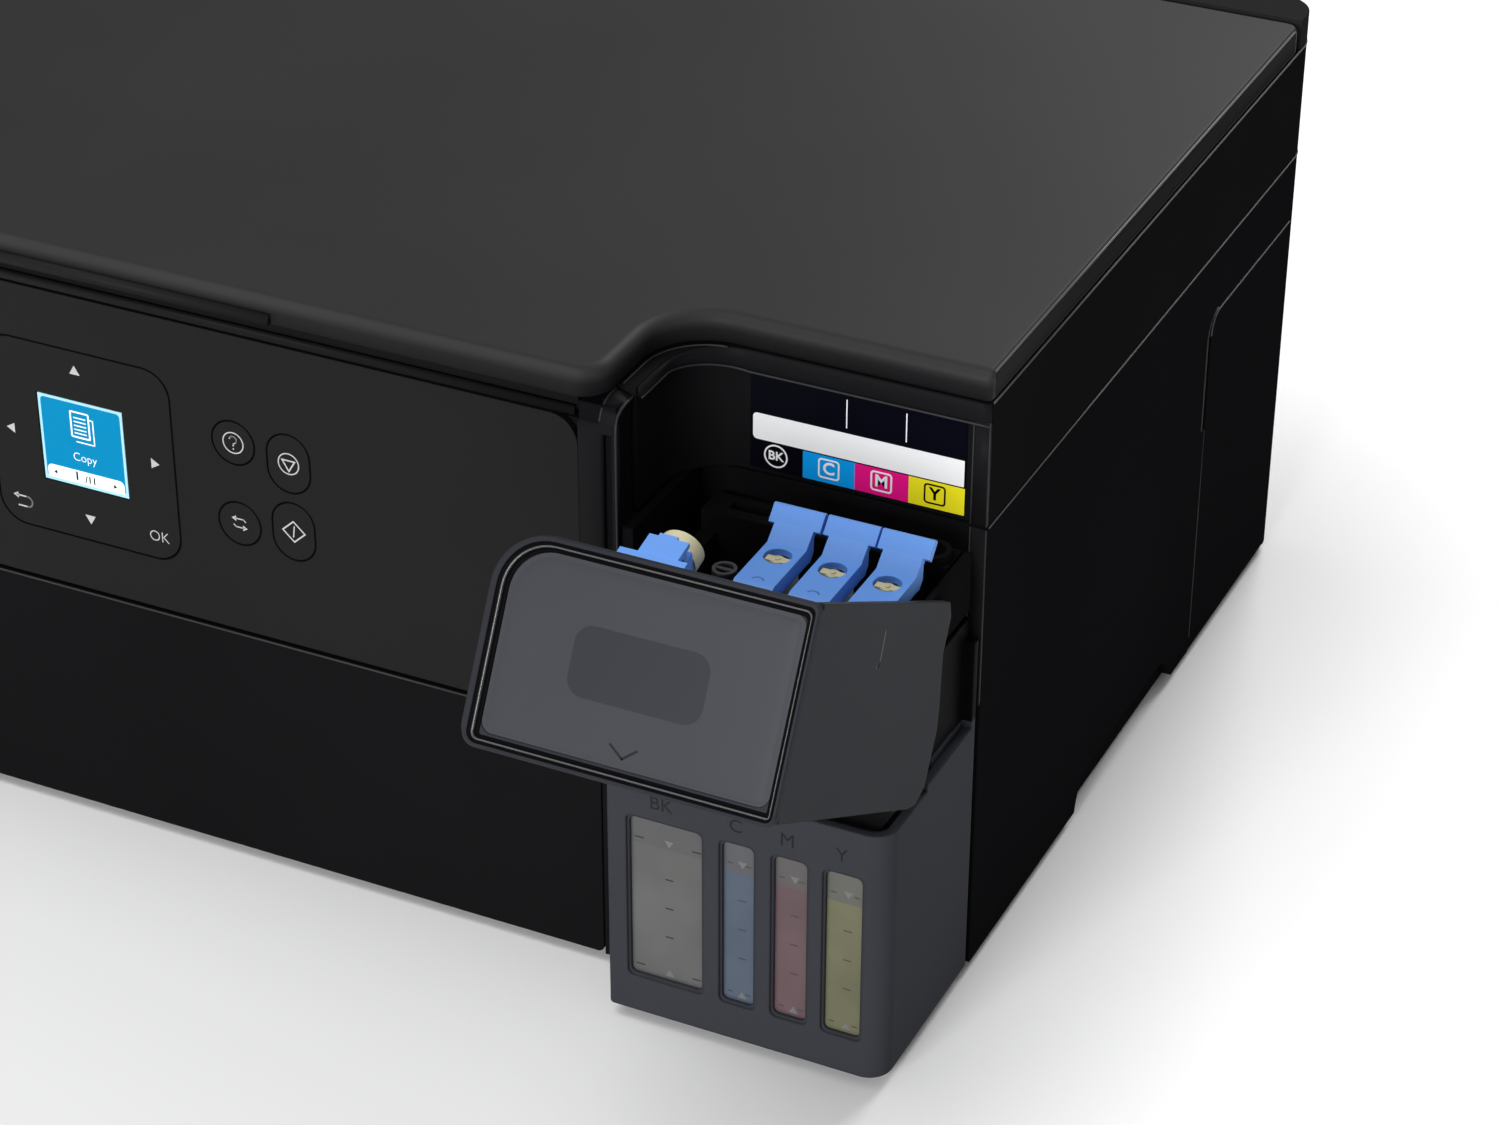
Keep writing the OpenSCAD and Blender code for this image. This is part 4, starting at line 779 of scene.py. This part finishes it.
thread("line_lid", [(187.15, y, 183.2) for y in (-79.0, 0.0, 80.0, 151.0)], 0.35, "line", "document_cover")
thread("line_scanner", round_the_back(SCANNER_SEAM), LINE_R, "line", "scanner_unit")
thread("line_case", round_the_back(CASE_SEAM), LINE_R, "line", "base")
for name, x, y, heights, body in (
        ("line_scanner_front", 187.3, -81.3, (139.9, 150.0, 169.8), "scanner_unit"),
        ("line_case_front", 187.3, -81.3, (87.0, 110.0, 138.8), "base"),
        ("line_scanner_inner", 183.0, -81.35, (139.9, 150.0, 168.6), "scanner_unit"),
        ("line_case_inner", 183.0, -81.35, (87.0, 110.0, 138.8), "base")):
    thread(name, [(x, y, z) for z in heights], POST_LINE_R, "line_soft", body)
cover_edge = arc(98.3, 111.3, 6.3, 180, 90, 8) + [(130.0, 117.6), (160.9, 117.6)]
thread("line_side_cover", [(SIDE_X, y, z) for y, z in cover_edge], 0.26, "line", "base")
# A skin in the scanner's matte material over the lid's right side, a sheet that darkens that side as painted
# shade.
side_section = [(187.3, 176.6), (187.56, 176.6), (187.56, 182.0), (187.4, 182.7), (187.0, 182.7)]
side_rows = [[(x, y, z) for x, z in side_section] for y in (-79.4, 0.0, 80.0, 151.6)]
skin("lid_side_shade_skin", side_rows, "scan", "document_cover")
groove_edge = [(88.9, 81.2), (88.9, 110.0)] + arc(97.2, 110.4, 8.3, 176, 95, 8)
thread("line_side_groove", [(SIDE_X, y, z) for y, z in groove_edge], LINE_R, "line_soft", "base")
thread("line_side_seam", [(SIDE_X, 91.8, z) for z in (8.0, 40.0, 80.0)], 0.2, "line_soft", "base")

# Thin strip above the control panel.
strip = [(-118.9, 170.9), (-119.9, 170.9), (-120.4, 170.6), (-120.6, 170.1), (-120.6, 168.9), (-120.3, 168.4),
         (-119.8, 168.2), (-118.9, 168.2)]
skin("panel_strip", bar_x(-176.0, 91.6, strip), "lid", "scanner_unit")

# ---------- ink label ----------

# The fields lie on the label, the tiles on the fields and the letters on the tiles.
LABEL_Y = -80.62
TILE_Y = LABEL_Y - 0.07
TILE_LETTER_Y = LABEL_Y - 0.1
LABEL_PRINT = 0.06
TILE_PRINT = 0.04
on_label = on_face(LABEL_Y)
on_field = on_face(TILE_Y)


def label_tile(cx):
    """The two outlines of the square frame round a letter."""
    return (outline(cx - 3.0, cx + 3.0, 142.4, 148.2, [1.0] * 4, 5),
            outline(cx - 2.52, cx + 2.52, 142.88, 147.72, [0.6] * 4, 5))


decals("label_bar", [outline(122.1, 180.6, 149.4, 157.0, [1.2, 0.2, 0.2, 1.2])], "white", "scanner_unit",
       on_label, LABEL_PRINT)
for colour, x0, x1 in (("cyan", 136.2, 150.7), ("magenta", 150.7, 165.6), ("yellow", 165.6, 180.9)):
    decals("label_" + colour, [outline(x0, x1, 141.2, 149.0, [0.1] * 4, 2)], colour, "scanner_unit",
           on_label, LABEL_PRINT)
decals("label_dividers", strokes([[(x, 158.6), (x, 166.6)] for x in (148.2, 164.6)], 0.3), "white",
       "scanner_unit", on_label, LABEL_PRINT)
frames("label_bk_ring", [circle_frame(128.6, 145.4, 3.35, 0.45)], "white", "scanner_unit", on_label, 0.08)
tiles = [label_tile(143.5), label_tile(158.1)]
frames("label_tiles", tiles, "white", "scanner_unit", on_field, TILE_PRINT)
frames("label_tile_dark", [label_tile(172.8)], "groove", "scanner_unit", on_field, TILE_PRINT)
lettering("label_bk", "BK", 128.6, 145.4, 3.6, "white", "scanner_unit", TILE_Y, PRINT, bold=0.08)
for text, x, key in (("C", 143.5, "white"), ("M", 158.1, "white"), ("Y", 172.8, "groove")):
    lettering("label_" + text.lower(), text, x, 145.3, 4.8, key, "scanner_unit", TILE_LETTER_Y, PRINT,
              bold=0.12)

# ---------- ink windows ----------

# Of each window: its left and right side, its foot and the colour of its ink.
WINDOWS = (
    ("black", 114.8, 135.5, 15.8, (0.100, 0.100, 0.099)),
    ("cyan", 141.3, 150.2, 15.6, (0.070, 0.092, 0.130)),
    ("magenta", 155.9, 165.1, 15.8, (0.108, 0.066, 0.074)),
    ("yellow", 170.3, 180.4, 15.6, (0.128, 0.126, 0.072)),
)
WINDOW_TOP = 66.5
WINDOW_GROWTH = 0.6
# The pane bulges forward: how far each of its rows is moved in, and its y.
WINDOW_ROWS = ((0.0, -136.62), (0.1, -137.2), (0.4, -137.5), (0.9, -137.66), (2.0, -137.7))
UPPER_LIMIT = 59.2
TICK_WIDTH = 0.35
LIMIT_SIZE = 2.6
HOUSING_Y = -139.21
on_pane = on_face(-137.71)

for name, x0, x1, z0, ink in WINDOWS:
    broad = name == "black"
    level = 57.5 if broad else 56.5
    rows = []
    for u, y in WINDOW_ROWS:
        grow = WINDOW_GROWTH - u
        shape = outline(x0 - grow, x1 + grow, z0 - grow, WINDOW_TOP - u, [max(1.2 - u, 0.3)] * 4)
        rows.append([(x, y, z) for x, z in shape])
    MAT["ink_" + name] = ink_material("ink_" + name, ink, level)
    skin("window_" + name, rows, "ink_" + name, "base", first_closed=False)
    mid = (x0 + x1) / 2 + (0.6 if broad else 0.9)
    marks = [[(mid - 1.0, z), (mid + 1.0, z)] for z in (48.0, 38.8, 29.6)]
    end_length = 2.2 if broad else 1.2
    last_end = x1 - (3.0 if broad else 2.4)
    marks += [[(x, z), (x + end_length, z)] for z in (UPPER_LIMIT, z0 + 2.6) for x in (x0 + 1.3, last_end)]
    tick_look = "tick_dark" if broad else "tick"
    decals("ticks_" + name, strokes(marks, TICK_WIDTH), tick_look, "base", on_pane, PRINT)
    limits = [triangle(mid, UPPER_LIMIT, LIMIT_SIZE, "down"), triangle(mid, z0 + 2.2, LIMIT_SIZE, "up")]
    decals("limits_" + name, limits, "tick_pale", "base", on_pane, PRINT)
for text, x in (("BK", 124.3), ("C", 145.4), ("M", 159.8), ("Y", 174.8)):
    lettering("tank_letter_" + text.lower(), text, x, 72.0, 5.6, "engraved", "base", HOUSING_Y, THIN)

# ---------- tank cover ----------

COVER_LEFT, COVER_RIGHT, COVER_FRONT, COVER_REAR = 105.5, 187.5, -140.4, -87.5
COVER_TOP = 184.24
COVER_RADII = (4, 3, 2, 14)
INSERT_RADII = (3, 3, 2.5, 11)
# A rim's profile is the distance in from the cover's edge and the height, as they are at its front and rear.
# The rims are broader at the left and narrower at the right.
RIM_WIDE = 4.9 / 3.4
RIM_THIN = 2.3 / 3.4
RIMS = (
    ("outer", "shell", [(-0.02, 181.4), (-0.05, 182.7), (0.08, 183.4), (0.45, 183.9), (1.1, 184.05),
                        (1.2, 183.6)]),
    ("dark", "rim", [(1.15, 183.0), (1.15, 184.06), (1.5, 184.08), (1.95, 184.08), (1.95, 183.2)]),
    # The ridge is painted pale, as the highlight along its top.
    ("ridge", "ridge", [(1.9, 183.2), (1.95, 184.15), (2.1, 184.35), (2.3, 184.35), (2.45, 184.15),
                        (2.5, 183.2)]),
    ("groove", "rim", [(2.45, 183.15), (2.5, 184.04), (3.5, 184.04), (3.6, 183.05)]),
)
INSERT_PROFILE = [(0.0, 183.0), (0.05, 183.35), (0.35, 183.72), (1.0, 184.0), (2.0, 184.16), (3.4, 184.22),
                  (5.0, COVER_TOP)]


def rim_loop(u, z):
    """The cover's outline moved in by u."""
    shrink = (u, u, u * 0.2, u)
    least = (0.3, 0.3, 1.2, 1.2)
    radii = [max(r - less, low) for r, less, low in zip(COVER_RADII, shrink, least)]
    x0 = COVER_LEFT + u * RIM_WIDE
    x1 = COVER_RIGHT - u * RIM_THIN
    return [(a, b, z) for a, b in outline(x0, x1, COVER_FRONT + u, COVER_REAR - u, radii, 10)]


def insert_loop(u, z):
    """The outline of the plate in the cover moved in by u."""
    radii = [max(r - u * 0.6, 0.5) for r in INSERT_RADII]
    return [(a, b, z) for a, b in outline(110.6 + u, 185.1 - u, -136.6 + u, -91.0 - u, radii, 10)]


for part, key, profile in RIMS:
    skin("cover_rim_" + part, [rim_loop(u, z) for u, z in profile], key, "tank_cover", COVER_TURN,
         first_closed=False, last_closed=False)
skin("cover_insert", [insert_loop(u, z) for u, z in INSERT_PROFILE], "plate", "tank_cover", COVER_TURN,
     first_closed=False)
decals("cover_badge", [outline(129.8, 164.7, -122.3, -105.3, [4.5] * 4, 10)], "badge", "tank_cover",
       on_top(COVER_TOP), PRINT, COVER_TURN)
decals("cover_chevron", strokes([[(143.9, -131.0), (147.5, -133.7), (150.8, -131.1)]], 0.6), "engraved",
       "tank_cover", on_top(COVER_TOP), PRINT, COVER_TURN)
# The J-shaped mark on the cover's right side is drawn in the pale highlight colour, as the light it catches.
tick_line = [(-94.9, 136.7), (-102.6, 136.2)] + arc(-102.7, 137.3, 1.1, 265, 180, 5) + [(-103.8, 138.0)]
decals("cover_tick", strokes([tick_line], 0.5), "line", "tank_cover", on_side(COVER_RIGHT), PRINT, COVER_TURN)

# ---------- ink caps and the black tank's neck ----------

PORT_Y = -114.0

for colour, x in (("cyan", 144.8), ("magenta", 159.8), ("yellow", 174.6)):
    lever = "lever_" + colour
    bar = outline(x - 3.2, x + 3.2, PORT_Y - 0.95, PORT_Y + 0.95, [0.4] * 4, 4)
    # A thin arc on each lever is painted darker blue, as shade.
    finger_arc = strokes([arc(x + 0.2, -126.6, 1.6, 20, 160, 10)], 0.3)
    decals("cap_arc_" + colour, finger_arc, "blue_painted_shade", lever, on_top(138.0), THIN)
    decals("cap_floor_" + colour, [ring_of(x, PORT_Y, 3.6)], "blue", lever, on_top(136.3), 0.1)
    decals("cap_key_" + colour, [bar, ring_of(x, PORT_Y, 1.9, 28)], "cream", lever, on_top(136.4), 0.7)
    decals("cap_knob_" + colour, [ring_of(x, PORT_Y, 0.7, 20)], "cream", lever, on_top(137.1), 0.4)

frames("neck_ring", [circle_frame(130.1, PORT_Y, 3.25, 0.9)], "neck", "base", on_top(130.5), 0.25)
decals("neck_bar", [outline(127.2, 133.0, PORT_Y - 0.5, PORT_Y + 0.5, [0.3] * 4, 3)], "neck", "base",
       on_top(130.1), 0.5)

# ---------- dark liners behind the finger scoops in the case's lower edges ----------

LINER_INNER_X = 184.1
LINER_THICKNESS = 0.6
LINER = [(-5.0, 3.05), (79.0, 3.05), (79.0, 15.4), (-5.0, 15.4)]

for side, sign in (("left", -1), ("right", 1)):
    decals("scoop_liner_" + side, [LINER], "inner", "base", on_side(LINER_INNER_X, sign), LINER_THICKNESS)

# ---------- camera, solved from the photograph's edges ----------

YAW = math.radians(25.24)
PITCH = math.radians(31.38)
ROLL = math.radians(-0.29)
CAMERA_AT = (0.48766, -0.85753, 0.63552)
FOCAL_PX = 3848.68
PHOTO_WIDTH_PX = 1500
SENSOR_WIDTH = 36

ahead = Vector((-math.sin(YAW) * math.cos(PITCH), math.cos(YAW) * math.cos(PITCH), -math.sin(PITCH)))
level_right = Vector((math.cos(YAW), math.sin(YAW), 0))
level_down = ahead.cross(level_right)
rolled_right = math.cos(ROLL) * level_right + math.sin(ROLL) * level_down
rolled_down = -math.sin(ROLL) * level_right + math.cos(ROLL) * level_down
cam_data = bpy.data.cameras.new("camera")
cam = bpy.data.objects.new("camera", cam_data)
bpy.context.collection.objects.link(cam)
cam_axes = Matrix((rolled_right, -rolled_down, -ahead)).transposed()
cam.matrix_world = Matrix.Translation(CAMERA_AT) @ cam_axes.to_4x4()
cam_data.sensor_width = SENSOR_WIDTH
cam_data.sensor_fit = "HORIZONTAL"
cam_data.lens = SENSOR_WIDTH * FOCAL_PX / PHOTO_WIDTH_PX
cam_data.clip_start = 0.01
cam_data.clip_end = 50
bpy.context.scene.camera = cam

# ---------- floor and light (metres and watts) ----------

FLOOR_HALF = 6
SKY_STRENGTH = 0.30


def seen_directly(mat):
    """The backdrop is a little whiter where the camera sees it than where the printer does."""
    tree = mat.node_tree
    base = tree.nodes["Principled BSDF"].inputs["Base Color"]
    rays = tree.nodes.new("ShaderNodeLightPath")
    whiter = mixed(tree, rays.outputs["Is Camera Ray"], base.links[0].from_socket, (0.97, 0.97, 0.97))
    tree.links.new(whiter, base)


def softbox(name, at, aim, size, power):
    """A soft rectangular light that looks from one point to another."""
    data = bpy.data.lights.new(name, "AREA")
    data.shape = "RECTANGLE"
    data.size = size[0]
    data.size_y = size[1]
    data.energy = power
    obj = bpy.data.objects.new(name, data)
    bpy.context.collection.objects.link(obj)
    obj.location = at
    obj.rotation_euler = (Vector(aim) - Vector(at)).to_track_quat("-Z", "Y").to_euler()


floor_mesh = bpy.data.meshes.new("floor")
floor_corners = [(x * FLOOR_HALF, y * FLOOR_HALF, 0) for x, y in ((-1, -1), (1, -1), (1, 1), (-1, 1))]
floor_mesh.from_pydata(floor_corners, [], [(0, 1, 2, 3)])
floor = bpy.data.objects.new("floor", floor_mesh)
bpy.context.collection.objects.link(floor)
floor_paint = plastic("floor_white", (0.86, 0.86, 0.86), 0.7, 0.1, 40.0, 0.01, 0.01)
seen_directly(floor_paint)
floor_mesh.materials.append(floor_paint)

world = bpy.data.worlds.new("studio")
bpy.context.scene.world = world
world.use_nodes = True
sky = world.node_tree.nodes["Background"]
sky.inputs["Color"].default_value = (1, 1, 1, 1)
sky.inputs["Strength"].default_value = SKY_STRENGTH

softbox("key", (-0.85, -0.55, 2.6), (0.05, 0.0, 0.1), (2.0, 2.0), 34)
softbox("fill", (0.0, -2.4, 0.8), (0.1, 0.0, 0.12), (1.0, 0.8), 44)
softbox("back", (0.2, 2.3, 1.8), (0.0, 0.0, 0.1), (1.4, 1.0), 60)

bpy.context.scene.view_settings.view_transform = "Standard"
bpy.context.scene.view_settings.look = "None"
